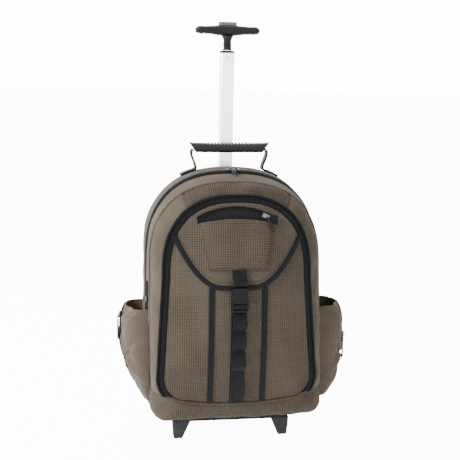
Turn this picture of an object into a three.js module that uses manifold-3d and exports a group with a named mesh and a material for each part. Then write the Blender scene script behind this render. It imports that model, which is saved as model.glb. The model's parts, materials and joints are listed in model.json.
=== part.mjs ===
// Wheeled backpack: a woven polyester bag on a trolley frame, standing on two front feet and two rear
// wheels, with its pull-out handle raised.
// Millimetres, +Z up, -Y is the front, X = 0 runs through the trolley tube, and the ground is Z = 0.
// The finished group is moved so that its origin is the bottom centre of its bounding box.
import * as THREE from 'three';
import { mergeVertices } from 'three/addons/utils/BufferGeometryUtils.js';
import Module from 'manifold-3d';

const wasm = await Module();
wasm.setup();

// Driving dimensions

const GAP = 0.3;            // between pieces that touch
const SEAM = 0.6;           // between a sewn-on layer and the curved cloth under it
const WALL = 2.5;           // padded cloth wall
const CLOTH = 2;            // unpadded cloth
const TAPE = 1.6;           // zip tape
const WEB = 2;              // webbing thickness

// Main compartment, at the plane of its zip
const BAG = {
  halfWidth: 165, flare: 4, top: 519, bottom: 47, spring: 345, corner: 26, exponent: 2.5,
  zipY: -15, frontDepth: 45, backDepth: 73, zipEnd: 190, zipWidth: 7,
};
// The loaded bag leans to one side towards its bottom
const LEAN = { most: 12, power: 1.6, offset: -1 };
// Front compartment: the outline inside its zip
const FRONT = {
  halfWidth: 128, flare: 13, top: 472, bottom: 87, spring: 330, corner: 42, rise: 8, exponent: 2.5,
  depth: 40, tilt: 8, crown: 15, centre: 285, seam: 104, zipWidth: 11, zipDrop: 4, lean: 0.5,
};
const FLAP = {
  halfWidth: 112, bottom: 319, rise: 90, flat: 28, under: 1, bindingWidth: 10, bindingThickness: 3,
};
const SLOT = {
  left: -76, right: 66, top: 438, arch: 9, bottom: 348, taper: 20, lift: 7, zipWidth: 6, tapeRise: 8,
  endBlock: 16,
};
const POCKET = {
  y: 2, halfDepth: 46, bottom: 75, top: 257, bulge: 57, exponent: 3, tapeWidth: 9, tapeEnd: 0.16,
  sliderLeft: 0.90, sliderRight: 0.62, pull: 60, pullWidth: 4,
};
const STRIP = { left: -49, right: 51, width: 10.5 };
const BUCKLE = {
  x: 2, top: 316, width: 33, height: 46, depth: 11, webWidth: 26.5, tabTop: 348, wall: 2.5, slotHeight: 4,
};
// lift: height of the grip's middle above the bag's top
const CARRY = { halfLength: 77, y: 32, lift: 42, anchorX: 66, anchorReach: 30, webWidth: 25 };
const TUBE = {
  y: 76, width: 28, depth: 18, corner: 7, wall: 1.5, top: 742, exposed: 224, overlap: 60, slack: 1,
  outerWall: 1.5,
};
const SOCKET = { height: 12, rim: 3 };
const GRIP = { halfSpan: 63, z: 786, height: 21, depth: 27, collar: 5, neckRadius: 8, flat: 0.6 };
const BUTTON = { width: 37, depth: 13, height: 9, proud: 6, travel: 3 };
const COVER = { halfWidth: 146, top: 498, bottom: 66, depth: 33, spring: 350, corner: 30 };
const PAD = { halfWidth: 102, top: 440, bottom: 125, thickness: 11, spring: 370, corner: 34 };
const SHOULDER = { width: 58, thickness: 12, webWidth: 25, adjuster: 22 };
const BASE = {
  halfWidth: 119, front: -56, rear: 52, thickness: 8, corner: 16, tongue: 56, shoe: 16, shoeWall: 3,
};
const FOOT = { y: -46, depth: 22, outer: 113, topInner: 78, bottomInner: 95, toe: 3 };
const WHEEL = {
  x: 98, y: 89, radius: 28, width: 20, tyre: 8, axle: 3, running: 0.4, side: 1.2, cheek: 3, fender: 3,
  mouth: 8,
};

// Depths that follow from these
const frontSeamY = BAG.zipY - BAG.frontDepth;
const frontEdgeY = frontSeamY - FRONT.depth;
const backY = BAG.zipY + BAG.backDepth;
const coverBackY = backY + GAP + COVER.depth;
const bagHeight = BAG.top - BAG.bottom;
const carryZ = BAG.top + CARRY.lift;

// Section tables. along: share of the depth from the zip; width and height: shares of the bag's own; lift:
// share of its height that the bottom edge rises.
const BACK_SECTIONS = [
  { along: 0.00, width: 1.000, height: 1.000, lift: 0.000 },
  { along: 0.14, width: 1.010, height: 1.005, lift: 0.000 },
  { along: 0.48, width: 1.015, height: 1.007, lift: 0.000 },
  { along: 0.80, width: 1.000, height: 1.000, lift: 0.000 },
  { along: 0.94, width: 0.970, height: 0.982, lift: 0.008 },
  { along: 1.00, width: 0.920, height: 0.955, lift: 0.022 },
];
const FRONT_SECTIONS = [
  { along: 0.00, width: 1.000, height: 1.000, lift: 0.000 },
  { along: 0.16, width: 1.012, height: 1.002, lift: 0.000 },
  { along: 0.60, width: 1.004, height: 0.992, lift: 0.000 },
  { along: 1.00, width: 0.982, height: 0.970, lift: 0.002 },
];
// Side pockets. rise: share of the pocket's height; left, right: shares of its full bulge.
const POCKET_SECTIONS = [
  { rise: 0.00, left: 0.10, right: 0.30 },
  { rise: 0.12, left: 0.33, right: 0.66 },
  { rise: 0.28, left: 0.58, right: 0.82 },
  { rise: 0.50, left: 0.78, right: 0.90 },
  { rise: 0.75, left: 0.84, right: 1.00 },
  { rise: 0.90, left: 0.81, right: 0.95 },
  { rise: 1.00, left: 0.66, right: 0.80 },
];
// Diagonal folds in the pockets. rise, around: where the fold lies, as shares; slope: how it climbs round the
// pocket; depth: share of the bulge; spread: share of the height.
const POCKET_FOLDS = [
  { rise: 0.34, around: -0.45, slope: 0.22, depth: -0.055, spread: 0.07 },
  { rise: 0.58, around: 0.10, slope: 0.30, depth: 0.045, spread: 0.08 },
  { rise: 0.80, around: 0.45, slope: -0.20, depth: -0.050, spread: 0.06 },
];
// Loops of the centre webbing, top to bottom. from, to: bar tacks, as shares of its length; bulge: share of
// its width.
const DAISY_LOOPS = [
  { from: 0.02, to: 0.18, bulge: 0.18 },
  { from: 0.23, to: 0.39, bulge: 0.20 },
  { from: 0.44, to: 0.63, bulge: 0.22 },
  { from: 0.66, to: 0.98, bulge: 0.05 },
];
// Carry grip along its half length. share: of the half length; up: centre above the grip's middle; height,
// depth: its section.
const CARRY_SECTIONS = [
  { share: 0.00, up: 0.0, height: 14, depth: 27 },
  { share: 0.45, up: 0.2, height: 14, depth: 27 },
  { share: 0.75, up: 0.6, height: 15, depth: 26 },
  { share: 0.90, up: 2.0, height: 16, depth: 25 },
  { share: 1.00, up: 8.5, height: 5, depth: 22 },
];
// Pull grip along its half span. share: of the half span; height, depth: shares of the grip's own.
const PULL_SECTIONS = [
  { share: 0.00, height: 1.00, depth: 1.00 },
  { share: 0.22, height: 0.98, depth: 1.00 },
  { share: 0.38, height: 0.74, depth: 0.92 },
  { share: 0.70, height: 0.58, depth: 0.84 },
  { share: 0.92, height: 0.62, depth: 0.80 },
  { share: 1.00, height: 0.34, depth: 0.52 },
];
// Grip neck, up its height, with its two rings: [share of the neck radius, share of its height]
const NECK_PROFILE = [
  [0, 0], [1.15, 0], [1.15, 0.1], [1, 0.14], [1, 0.3], [1.1, 0.34], [1.1, 0.42], [0.95, 0.46], [1, 0.7],
  [1.5, 1], [0, 1],
];
// Back cover. along: share of its depth; grow, drop: added to its half width and to its top
const COVER_SECTIONS = [
  { along: 0.00, grow: 0, drop: 0 },
  { along: 0.55, grow: -1, drop: -3 },
  { along: 0.90, grow: -8, drop: -12 },
  { along: 1.00, grow: -16, drop: -20 },
];
// Back panel. along: share of its thickness; inset: from its outline
const PAD_SECTIONS = [
  { along: 0.00, inset: 4 },
  { along: 0.35, inset: 0 },
  { along: 0.75, inset: 1 },
  { along: 1.00, inset: 9 },
];
// Shoulder strap, right side, in millimetres from the cover's back face (back) and the ground (z)
const SHOULDER_ROUTE = [
  { x: 42, back: 6.4, z: 475 }, { x: 42, back: 6.8, z: 468 },
  { x: 45, back: 20, z: 452 }, { x: 64, back: 36, z: 414 },
  { x: 84, back: 45, z: 362 }, { x: 95, back: 46, z: 305 },
  { x: 100, back: 41, z: 250 }, { x: 100, back: 33, z: 205 },
];
const LOWER_WEB_ROUTE = [
  { x: 103, back: 20, z: 150 }, { x: 107, back: 7, z: 124 },
  { x: 108, back: 1.5, z: 110 }, { x: 108, back: 1.4, z: 96 },
];

// Materials

const finish = (color, roughness, metalness = 0) =>
  () => new THREE.MeshStandardMaterial({ color, roughness, metalness });
const TAUPE = finish(0x6b5d4e, 0.95);
const TAUPE_DARK = finish(0x4f453b, 0.95);
const BLACK_WEB = finish(0x17181a, 0.85);
const BLACK_PLASTIC = finish(0x1c1d1f, 0.5);
const GREY_PLASTIC = finish(0x3a3c3f, 0.5);
const BUTTON_GREY = finish(0x6d7075, 0.35);
const ALUMINIUM = finish(0xd2d5d8, 0.3, 1);
const NICKEL = finish(0xb9bbbd, 0.3, 1);
const RUBBER = finish(0x202020, 0.9);
const MESH_FOAM = finish(0x222224, 0.95);

// Geometry helpers

const signedVolume = (position, index) => {
  const [a, b, c] = [new THREE.Vector3(), new THREE.Vector3(), new THREE.Vector3()];
  let sum = 0;
  for (let i = 0; i < index.length; i += 3) {
    a.fromBufferAttribute(position, index[i]);
    b.fromBufferAttribute(position, index[i + 1]);
    c.fromBufferAttribute(position, index[i + 2]);
    sum += a.dot(b.cross(c));
  }
  return sum / 6;
};

// Joins rings of points [x, y, z] into one closed skin. ends: 'fan' closes both ends to their middles,
// 'strip' closes them across (for rings that run out along one face and back along the other), 'loop' joins
// last to first.
function loft(rings, ends = 'fan') {
  const count = rings[0].length;
  const points = rings.flat();
  const index = [];
  const joins = ends === 'loop' ? rings.length : rings.length - 1;
  for (let r = 0; r < joins; r += 1) {
    const a = r * count;
    const b = ((r + 1) % rings.length) * count;
    for (let k = 0; k < count; k += 1) {
      const n = (k + 1) % count;
      index.push(a + k, a + n, b + n, a + k, b + n, b + k);
    }
  }
  if (ends !== 'loop') {
    [0, rings.length - 1].forEach((r) => {
      const a = r * count;
      const turn = r === 0 ? 1 : -1;
      const face = (i, j, k) => (turn > 0 ? index.push(i, k, j) : index.push(i, j, k));
      if (ends === 'fan') {
        const middle = rings[r].reduce((m, p) => m.map((v, i) => v + p[i] / count), [0, 0, 0]);
        points.push(middle);
        for (let k = 0; k < count; k += 1) face(points.length - 1, a + k, a + ((k + 1) % count));
      } else {
        for (let k = 0; k < count / 2 - 1; k += 1) {
          const far = count - 1 - k;
          face(a + k, a + k + 1, a + far - 1);
          face(a + k, a + far - 1, a + far);
        }
      }
    });
  }
  const geometry = new THREE.BufferGeometry();
  geometry.setAttribute('position', new THREE.Float32BufferAttribute(points.flat(), 3));
  if (signedVolume(geometry.getAttribute('position'), index) < 0) index.reverse();
  geometry.setIndex(index);
  geometry.computeVertexNormals();
  return geometry;
}

const toSolid = (geometry) => {
  const bare = geometry.clone();
  bare.deleteAttribute('normal');
  if (bare.getAttribute('uv')) bare.deleteAttribute('uv');
  const merged = mergeVertices(bare, 1e-4);
  return new wasm.Manifold(new wasm.Mesh({
    numProp: 3,
    vertProperties: new Float32Array(merged.getAttribute('position').array),
    triVerts: new Uint32Array(merged.index.array),
  }));
};
const toGeometry = (solid) => {
  const mesh = solid.getMesh();
  const geometry = new THREE.BufferGeometry();
  geometry.setAttribute('position', new THREE.Float32BufferAttribute(mesh.vertProperties, 3));
  geometry.setIndex(Array.from(mesh.triVerts));
  geometry.computeVertexNormals();
  return geometry;
};
const cut = (body, ...tools) => toGeometry(tools.reduce((s, t) => s.subtract(toSolid(t)), toSolid(body)));
const join = (first, ...rest) => toGeometry(rest.reduce((s, b) => s.add(toSolid(b)), toSolid(first)));

// A box given by its low and high corners
const box = (low, high) => {
  const size = high.map((v, i) => v - low[i]);
  return new THREE.BoxGeometry(...size).translate(...low.map((v, i) => v + size[i] / 2));
};
// A cylinder along X, centred at x, y, z
const rod = (radius, length, x, y, z, sides = 12) =>
  new THREE.CylinderGeometry(radius, radius, length, sides).rotateZ(Math.PI / 2).translate(x, y, z);
// A vertical bar of rounded-rectangle section, hollow when a wall is given
function roundedBar(width, depth, radius, low, high, { wall = 0, x = 0, y = 0, segments = 3 } = {}) {
  const trace = (path, inset) => {
    const [hw, hd, r] = [width / 2 - inset, depth / 2 - inset, Math.max(radius - inset, 0.5)];
    path.moveTo(hw, hd - r);
    path.absarc(hw - r, hd - r, r, 0, Math.PI / 2);
    path.absarc(-hw + r, hd - r, r, Math.PI / 2, Math.PI);
    path.absarc(-hw + r, -hd + r, r, Math.PI, 1.5 * Math.PI);
    path.absarc(hw - r, -hd + r, r, 1.5 * Math.PI, 2 * Math.PI);
    return path;
  };
  const shape = trace(new THREE.Shape(), 0);
  if (wall > 0) shape.holes.push(trace(new THREE.Path(), wall));
  const settings = { depth: high - low, bevelEnabled: false, curveSegments: segments };
  const bar = new THREE.ExtrudeGeometry(shape, settings);
  return bar.translate(x, y, low);
}
// An outline in the Y-Z plane carried along X from x0 to x1
function slabX(outline, x0, x1) {
  const shape = new THREE.Shape(outline.map(([y, z]) => new THREE.Vector2(y, z)));
  const slab = new THREE.ExtrudeGeometry(shape, { depth: x1 - x0, bevelEnabled: false, curveSegments: 6 });
  // shape x is Y, shape y is Z and the extrusion is X
  slab.applyMatrix4(new THREE.Matrix4().makeBasis(
    new THREE.Vector3(0, 1, 0), new THREE.Vector3(0, 0, 1), new THREE.Vector3(1, 0, 0)));
  return slab.translate(x0, 0, 0);
}
// Flat or padded strap along points, its width along the unit vector across. round: share of the half width
// that is chamfered away at each edge.
function strap(points, across, width, thickness, round = 0) {
  const side = new THREE.Vector3(...across);
  const section = round > 0
    ? [[-1, -0.35], [-1 + round, -1], [1 - round, -1], [1, -0.35],
      [1, 0.35], [1 - round, 1], [-1 + round, 1], [-1, 0.35]]
    : [[-1, -1], [1, -1], [1, 1], [-1, 1]];
  const rings = points.map((p, i) => {
    const before = new THREE.Vector3(...points[Math.max(i - 1, 0)]);
    const after = new THREE.Vector3(...points[Math.min(i + 1, points.length - 1)]);
    const normal = after.sub(before).normalize().cross(side).normalize();
    return section.map(([s, t]) => p.map((v, axis) =>
      v + side.getComponent(axis) * s * width / 2 + normal.getComponent(axis) * t * thickness / 2));
  });
  return loft(rings);
}
const mirrorX = (geometry) => {
  const copy = geometry.clone();
  copy.scale(-1, 1, 1);
  const corners = copy.getAttribute('position').count;
  const index = Array.from(copy.index ? copy.index.array : Array(corners).keys());
  copy.setIndex(index.reverse());
  copy.computeVertexNormals();
  return copy;
};
// The value of one column of a table at a share along another, in straight steps
function readTable(rows, key, at, column) {
  const last = rows.length - 1;
  const next = Math.min(Math.max(rows.findIndex((row) => row[key] >= at), 1), last);
  const upper = at > rows[last][key] ? last : next;
  const [a, b] = [rows[upper - 1], rows[upper]];
  const share = Math.min(Math.max((at - a[key]) / (b[key] - a[key]), 0), 1);
  return a[column] + (b[column] - a[column]) * share;
}

// Front-view outlines: flat or sagging bottom, round lower corners, flared sides and a superellipse arch

const leanAt = (z) => {
  const height = Math.min(Math.max((z - BAG.bottom) / bagHeight, 0), 1);
  return LEAN.most * (1 - height) ** LEAN.power + LEAN.offset;
};
function halfOutline(o, steps = 40) {
  const foot = o.half + o.flare;
  const shoulder = o.bottom + o.rise + o.corner;
  const share = Array.from({ length: steps }, (_, i) => i / steps);
  const bottom = share.map((s) => [s * (foot - o.corner), o.bottom + o.rise * s * s]);
  const corner = share.map((s) => [
    foot - o.corner + o.corner * Math.sin(s * Math.PI / 2), shoulder - o.corner * Math.cos(s * Math.PI / 2)]);
  const side = share.map((s) => [foot - o.flare * s, shoulder + (o.spring - shoulder) * s]);
  const arch = [...share, 1].map((s) => [
    o.half * Math.cos(s * Math.PI / 2) ** (2 / o.exponent),
    o.spring + (o.top - o.spring) * Math.sin(s * Math.PI / 2) ** (2 / o.exponent)]);
  return [...bottom, ...corner, ...side, ...arch];
}
// Points of the right half from the bottom middle to the top middle, low steps below the height mark and high
// steps above it
function sampleHalf(o, mark, low, high) {
  const line = halfOutline(o);
  const length = [0];
  for (let i = 1; i < line.length; i += 1) {
    length.push(length[i - 1] + Math.hypot(line[i][0] - line[i - 1][0], line[i][1] - line[i - 1][1]));
  }
  const end = length[length.length - 1];
  const at = (s) => {
    const i = Math.max(length.findIndex((v) => v >= Math.min(s, end)), 1);
    const t = (s - length[i - 1]) / (length[i] - length[i - 1] || 1);
    return line[i].map((v, axis) => line[i - 1][axis] + (v - line[i - 1][axis]) * t);
  };
  const over = Math.max(line.findIndex((p, i) => i > 0 && p[1] >= mark), 1);
  const t = (mark - line[over - 1][1]) / (line[over][1] - line[over - 1][1] || 1);
  const split = length[over - 1] + (length[over] - length[over - 1]) * t;
  return [
    ...Array.from({ length: low }, (_, i) => at(split * i / low)),
    ...Array.from({ length: high + 1 }, (_, i) => at(split + (end - split) * i / high)),
  ];
}
// The whole outline as points [x, z], right side first, from the bottom middle round and back to it
function outline(o, mark, low, high) {
  const right = sampleHalf(o, mark, low, high);
  const left = right.slice(1, -1).reverse().map(([x, z]) => [-x, z]);
  return [...right, ...left].map(([x, z]) => [x + leanAt(z) * o.lean, z]);
}
const shrink = (o, by) => ({
  ...o, half: o.half - by, top: o.top - by, bottom: o.bottom + by, corner: Math.max(o.corner - by, 2),
});
const bagOutline = (section) => ({
  half: BAG.halfWidth * section.width, flare: BAG.flare, spring: BAG.spring, corner: BAG.corner, rise: 0,
  top: BAG.bottom + bagHeight * section.height, bottom: BAG.bottom + bagHeight * section.lift,
  exponent: BAG.exponent, lean: 1,
});
const frontOutline = (grow) => shrink({
  half: FRONT.halfWidth, flare: FRONT.flare, top: FRONT.top, bottom: FRONT.bottom, spring: FRONT.spring,
  corner: FRONT.corner, rise: FRONT.rise, exponent: FRONT.exponent, lean: FRONT.lean,
}, -grow);

// Main compartment: two hollow tubs that face each other and leave a slot for the zip over the arch

const MAIN_LOW = 7;
const MAIN_HIGH = 13;
const MAIN_COUNT = 2 * (MAIN_LOW + MAIN_HIGH);
const inZip = (k) => k >= MAIN_LOW && k <= MAIN_COUNT - MAIN_LOW;
const zipHalf = (k) => (inZip(k) ? BAG.zipWidth / 2 + GAP : GAP / 2);
function mainTub(sections, depth, direction) {
  const place = (section, inset, y) =>
    outline(shrink(bagOutline(section), inset), BAG.zipEnd, MAIN_LOW, MAIN_HIGH)
      .map(([x, z], k) => [x, y(k), z]);
  const edgeY = (k) => BAG.zipY + direction * zipHalf(k);
  const atDepth = (section) => () => BAG.zipY + direction * depth * section.along;
  const innerDepth = (section) => () =>
    BAG.zipY + direction * Math.min(depth * section.along, depth - WALL);
  const outer = sections.slice(1).map((s) => place(s, 0, atDepth(s)));
  const inner = sections.slice(1).map((s) => place(s, WALL, innerDepth(s)));
  return loft([
    ...outer.reverse(), place(sections[0], 0, edgeY), place(sections[0], WALL, edgeY), ...inner,
  ]);
}
// The side of the bag at a depth y and height z: x of its outer face
function sideX(side, y, z) {
  const forward = y < BAG.zipY;
  const table = forward ? FRONT_SECTIONS : BACK_SECTIONS;
  const along = forward ? (BAG.zipY - y) / BAG.frontDepth : (y - BAG.zipY) / BAG.backDepth;
  const o = bagOutline({ width: readTable(table, 'along', along, 'width'), height: 1, lift: 0 });
  const shoulder = o.bottom + o.corner;
  const flare = o.flare * (o.spring - z) / (o.spring - shoulder);
  return side * (o.half + Math.min(flare, o.flare)) + leanAt(z);
}
// A band of the bag's surface over the arch, for the main zip
function mainZip() {
  const rows = [[-1, 0], [1, 0], [1, TAPE], [-1, TAPE]].map(([side, inset]) =>
    outline(shrink(bagOutline(FRONT_SECTIONS[0]), inset), BAG.zipEnd, MAIN_LOW, MAIN_HIGH)
      .map(([x, z]) => [x, BAG.zipY + side * BAG.zipWidth / 2, z])
      .slice(MAIN_LOW, MAIN_COUNT - MAIN_LOW + 1));
  return loft(rows[0].map((_, k) => rows.map((row) => row[k])));
}

// Front compartment

const FRONT_LOW = 7;
const FRONT_HIGH = 13;
const FRONT_COUNT = 2 * (FRONT_LOW + FRONT_HIGH);
const edgeY = (z) => frontEdgeY + FRONT.tilt * (z - FRONT.seam) / (FRONT.top - FRONT.seam);
const frontRing = (o, y, mark = FRONT.seam) =>
  outline(o, mark, FRONT_LOW, FRONT_HIGH).map(([x, z]) => [x, y(z), z]);
const seamOutline = bagOutline(FRONT_SECTIONS[FRONT_SECTIONS.length - 1]);
const mix = (a, b, t) => a.map((v, i) => v + (b[i] - v) * t);

// Crowned front panel: outline rings shrunk towards its centre, each further forward
const PANEL_RINGS = [1, 0.82, 0.62, 0.42, 0.21];
const panelEdge = outline(frontOutline(-GAP), FRONT.seam, FRONT_LOW, FRONT_HIGH);
const panelCentre = [leanAt(FRONT.centre) * FRONT.lean, FRONT.centre];
const crown = (ring) => FRONT.crown * (1 - ring ** 2);
const panelRing = (ring, inset) => panelEdge.map(([x, z]) => {
  const px = panelCentre[0] + (x - panelCentre[0]) * ring;
  const pz = panelCentre[1] + (z - panelCentre[1]) * ring;
  return [px, edgeY(pz) - crown(ring) + inset, pz];
});
function frontPanel() {
  return loft([
    ...[...PANEL_RINGS].reverse().map((ring) => panelRing(ring, 0)),
    ...PANEL_RINGS.map((ring) => panelRing(ring, CLOTH)),
  ]);
}
// y of the front panel's face at x, z: the ring through that point comes from the outline's edge that its ray
// meets
function panelY(x, z) {
  const [dx, dz] = [x - panelCentre[0], z - panelCentre[1]];
  let ring = 0;
  panelEdge.forEach((a, k) => {
    const b = panelEdge[(k + 1) % panelEdge.length];
    const [ax, az] = [a[0] - panelCentre[0], a[1] - panelCentre[1]];
    const [ex, ez] = [b[0] - a[0], b[1] - a[1]];
    const area = ax * ez - az * ex;
    const turn = dx * ez - dz * ex;
    const along = (ax * dz - az * dx) / (turn || 1);
    const meets = turn !== 0 && turn / area > 0 && along >= -1e-6 && along <= 1 + 1e-6;
    if (meets) ring = Math.max(ring, turn / area);
  });
  return edgeY(z) - crown(Math.min(ring, 1));
}
// Arched band from the front seam to the front zip
function frontGusset() {
  const outerEdge = frontOutline(FRONT.zipWidth + CLOTH + GAP);
  const ends = (inset) => ({
    back: frontRing(shrink(seamOutline, inset), () => frontSeamY - GAP, FRONT.seam + GAP),
    front: frontRing(shrink(outerEdge, inset), (z) => edgeY(z) + FRONT.zipDrop, FRONT.seam + GAP),
  });
  const [skin, lining] = [ends(0), ends(CLOTH)];
  const steps = [0, 0.3, 0.65, 1];
  const path = ({ back, front }, k) => steps.map((s) => {
    const p = mix(back[k], front[k], s);
    p[1] = back[k][1] + (front[k][1] - back[k][1]) * s ** 0.8;
    return p;
  });
  const rings = [];
  for (let k = FRONT_LOW; k <= FRONT_COUNT - FRONT_LOW; k += 1) {
    rings.push([...path(skin, k), ...path(lining, k).reverse()]);
  }
  return loft(rings, 'strip');
}
// Lower front: rounds forward and up from the bag's bottom edge to the bottom seam of the front panel
function bottomWrap() {
  const steps = [0, 0.3, 0.6, 0.82, 1];
  const rows = [0, CLOTH].map((inset) => ({
    back: frontRing(shrink(seamOutline, inset), () => frontSeamY - GAP, FRONT.seam - GAP),
    front: frontRing(frontOutline(0), edgeY, FRONT.seam - GAP),
    inset,
  }));
  const path = ({ back, front, inset }, k, turn) => steps.map((s) => {
    const round = 1 + 1.5 * (1 - turn ** 2);
    const p = mix(back[k], front[k], s ** round);
    p[1] = back[k][1] + (front[k][1] - back[k][1] + inset) * s ** (1 / (1 + 0.4 * (1 - turn ** 2)));
    return p;
  });
  const rings = [];
  for (let i = -FRONT_LOW; i <= FRONT_LOW; i += 1) {
    const k = (i + FRONT_COUNT) % FRONT_COUNT;
    const turn = Math.abs(i) / FRONT_LOW;
    rings.push([...path(rows[0], k, turn), ...path(rows[1], k, turn).reverse()]);
  }
  return loft(rings, 'strip');
}
function frontZip() {
  const inner = frontOutline(0);
  const outer = frontOutline(FRONT.zipWidth);
  const rows = [
    frontRing(outer, (z) => edgeY(z) + FRONT.zipDrop), frontRing(inner, edgeY),
    frontRing(inner, (z) => edgeY(z) + TAPE), frontRing(outer, (z) => edgeY(z) + FRONT.zipDrop + TAPE),
  ].map((row) => row.slice(FRONT_LOW, FRONT_COUNT - FRONT_LOW + 1));
  return loft(rows[0].map((_, k) => rows.map((row) => row[k])));
}

// Flap, slot pocket and webbing on the front

const flapLow = (x) => FLAP.bottom
  + FLAP.rise * (Math.max(Math.abs(x) - FLAP.flat, 0) / (FLAP.halfWidth - FLAP.flat)) ** 2;
const flapHigh = (x) => {
  const o = frontOutline(-FLAP.under);
  const share = Math.min(Math.abs(x - leanAt(FRONT.top) * FRONT.lean) / o.half, 1);
  return o.spring + (o.top - o.spring) * (1 - share ** o.exponent) ** (1 / o.exponent);
};
const spread = (from, to, steps) =>
  Array.from({ length: steps + 1 }, (_, i) => from + (to - from) * i / steps);
const FLAP_ROWS = 5;
const flapColumns = spread(-FLAP.halfWidth, FLAP.halfWidth, 18);
// The flap: a cloth sheet on the front panel, in columns from its U-shaped edge up to the arch
function frontFlap() {
  const rings = flapColumns.map((x) => {
    const line = spread(flapLow(x), flapHigh(x), FLAP_ROWS).map((z) => [x, panelY(x, z) - SEAM, z]);
    return [...line.map(([px, y, z]) => [px, y - CLOTH, z]), ...line.reverse()];
  });
  return loft(rings, 'strip');
}
function flapBinding() {
  const points = flapColumns.map((x) => [x, flapLow(x)]);
  const rings = points.map(([x, z], i) => {
    const [before, after] = [points[Math.max(i - 1, 0)], points[Math.min(i + 1, points.length - 1)]];
    const run = Math.hypot(after[0] - before[0], after[1] - before[1]);
    const down = [(after[1] - before[1]) / run, -(after[0] - before[0]) / run];
    const off = (by) => [x + down[0] * by, z + down[1] * by];
    const [near, far] = [off(1.5 * GAP), off(1.5 * GAP + FLAP.bindingWidth)];
    const low = FLAP.bindingThickness + SEAM;
    return [[near, SEAM], [far, SEAM], [far, low], [near, low]].map(([[px, pz], out]) =>
      [px, panelY(px, pz) - out, pz]);
  });
  return loft(rings);
}
// Height of the binding's lower edge at x
const bindingLow = (x) => {
  const slope = (flapLow(Math.abs(x) + 1) - flapLow(x));
  return flapLow(x) - (1.5 * GAP + FLAP.bindingWidth) * Math.hypot(1, slope);
};
const slotTop = (x) => {
  const share = (2 * x - SLOT.left - SLOT.right) / (SLOT.right - SLOT.left);
  return SLOT.top + SLOT.arch * (1 - share ** 2);
};
const onFlap = SEAM + CLOTH;
// The pouch: sewn down at its sides and bottom, and lifted at its mouth
function slotPocket() {
  const rows = 5;
  const rings = spread(0, 1, 12).map((u) => {
    const line = spread(0, 1, rows).map((v) => {
      const narrow = SLOT.taper * (1 - v);
      const x = SLOT.left + narrow + (SLOT.right - SLOT.left - 1.6 * narrow) * u;
      const z = SLOT.bottom + (slotTop(x) - SLOT.bottom) * v;
      const lift = SLOT.lift * Math.sin(Math.PI * u) ** 0.7 * v ** 0.8;
      return [x, panelY(x, z) - onFlap - SEAM - lift, z];
    });
    return [...line.map(([x, y, z]) => [x, y - CLOTH, z]), ...line.reverse()];
  });
  return loft(rings, 'strip');
}
// Upper zip tape of the slot, with its square end
function slotZip() {
  const columns = spread(SLOT.left - 4, SLOT.right + SLOT.endBlock / 2, 12);
  const rings = columns.map((x) => {
    const z = slotTop(x) + SLOT.tapeRise;
    return [[0, 0], [SLOT.zipWidth, 0], [SLOT.zipWidth, -TAPE], [0, -TAPE]].map(([up, out]) =>
      [x, panelY(x, z + up) - onFlap - SEAM + out, z + up]);
  });
  return loft(rings);
}
const webOnPanel = (x, from, to, lift, steps, bulge = () => 0) => spread(from, to, steps).map((z, i) =>
  [x, panelY(x, z) - lift - bulge(i / steps), z]);
const stripBottom = FRONT.bottom + GAP;
const trimStrip = (x) => strap(
  webOnPanel(x, bindingLow(Math.abs(x) - STRIP.width / 2) - 2 * GAP, stripBottom + 3, SEAM + WEB / 2, 10),
  [1, 0, 0], STRIP.width, WEB);
const buckleBottom = BUCKLE.top - BUCKLE.height;
const daisyBacking = () => strap(
  webOnPanel(BUCKLE.x, BUCKLE.top - FLAP.bindingWidth - 3, stripBottom + 1, SEAM + WEB / 2, 10),
  [1, 0, 0], BUCKLE.webWidth, WEB);
const onBacking = 2 * SEAM + WEB;
function daisyStrap() {
  const bulge = (share) => {
    const loop = DAISY_LOOPS.find((row) => share > row.from && share < row.to);
    return loop
      ? loop.bulge * BUCKLE.webWidth * Math.sin(Math.PI * (share - loop.from) / (loop.to - loop.from)) ** 0.8
      : 0;
  };
  const top = buckleBottom - 2 * GAP;
  const points = webOnPanel(BUCKLE.x, top, stripBottom + 3, onBacking + WEB / 2, 30, bulge);
  return strap(points, [1, 0, 0], BUCKLE.webWidth, WEB);
}
const bindingFace = SEAM + FLAP.bindingThickness;
const buckleY = panelY(BUCKLE.x, BUCKLE.top - BUCKLE.height / 2) - bindingFace - GAP;
const buckleTab = () => strap(
  [[BUCKLE.x, panelY(BUCKLE.x, BUCKLE.tabTop) - onFlap - SEAM - WEB, BUCKLE.tabTop],
    [BUCKLE.x, panelY(BUCKLE.x, FLAP.bottom) - bindingFace - GAP - WEB, FLAP.bottom + 8],
    [BUCKLE.x, buckleY - 2 * WEB, BUCKLE.top + 3],
    [BUCKLE.x, buckleY - 2 * WEB, BUCKLE.top + GAP]],
  [1, 0, 0], BUCKLE.webWidth, 2 * WEB);
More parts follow.
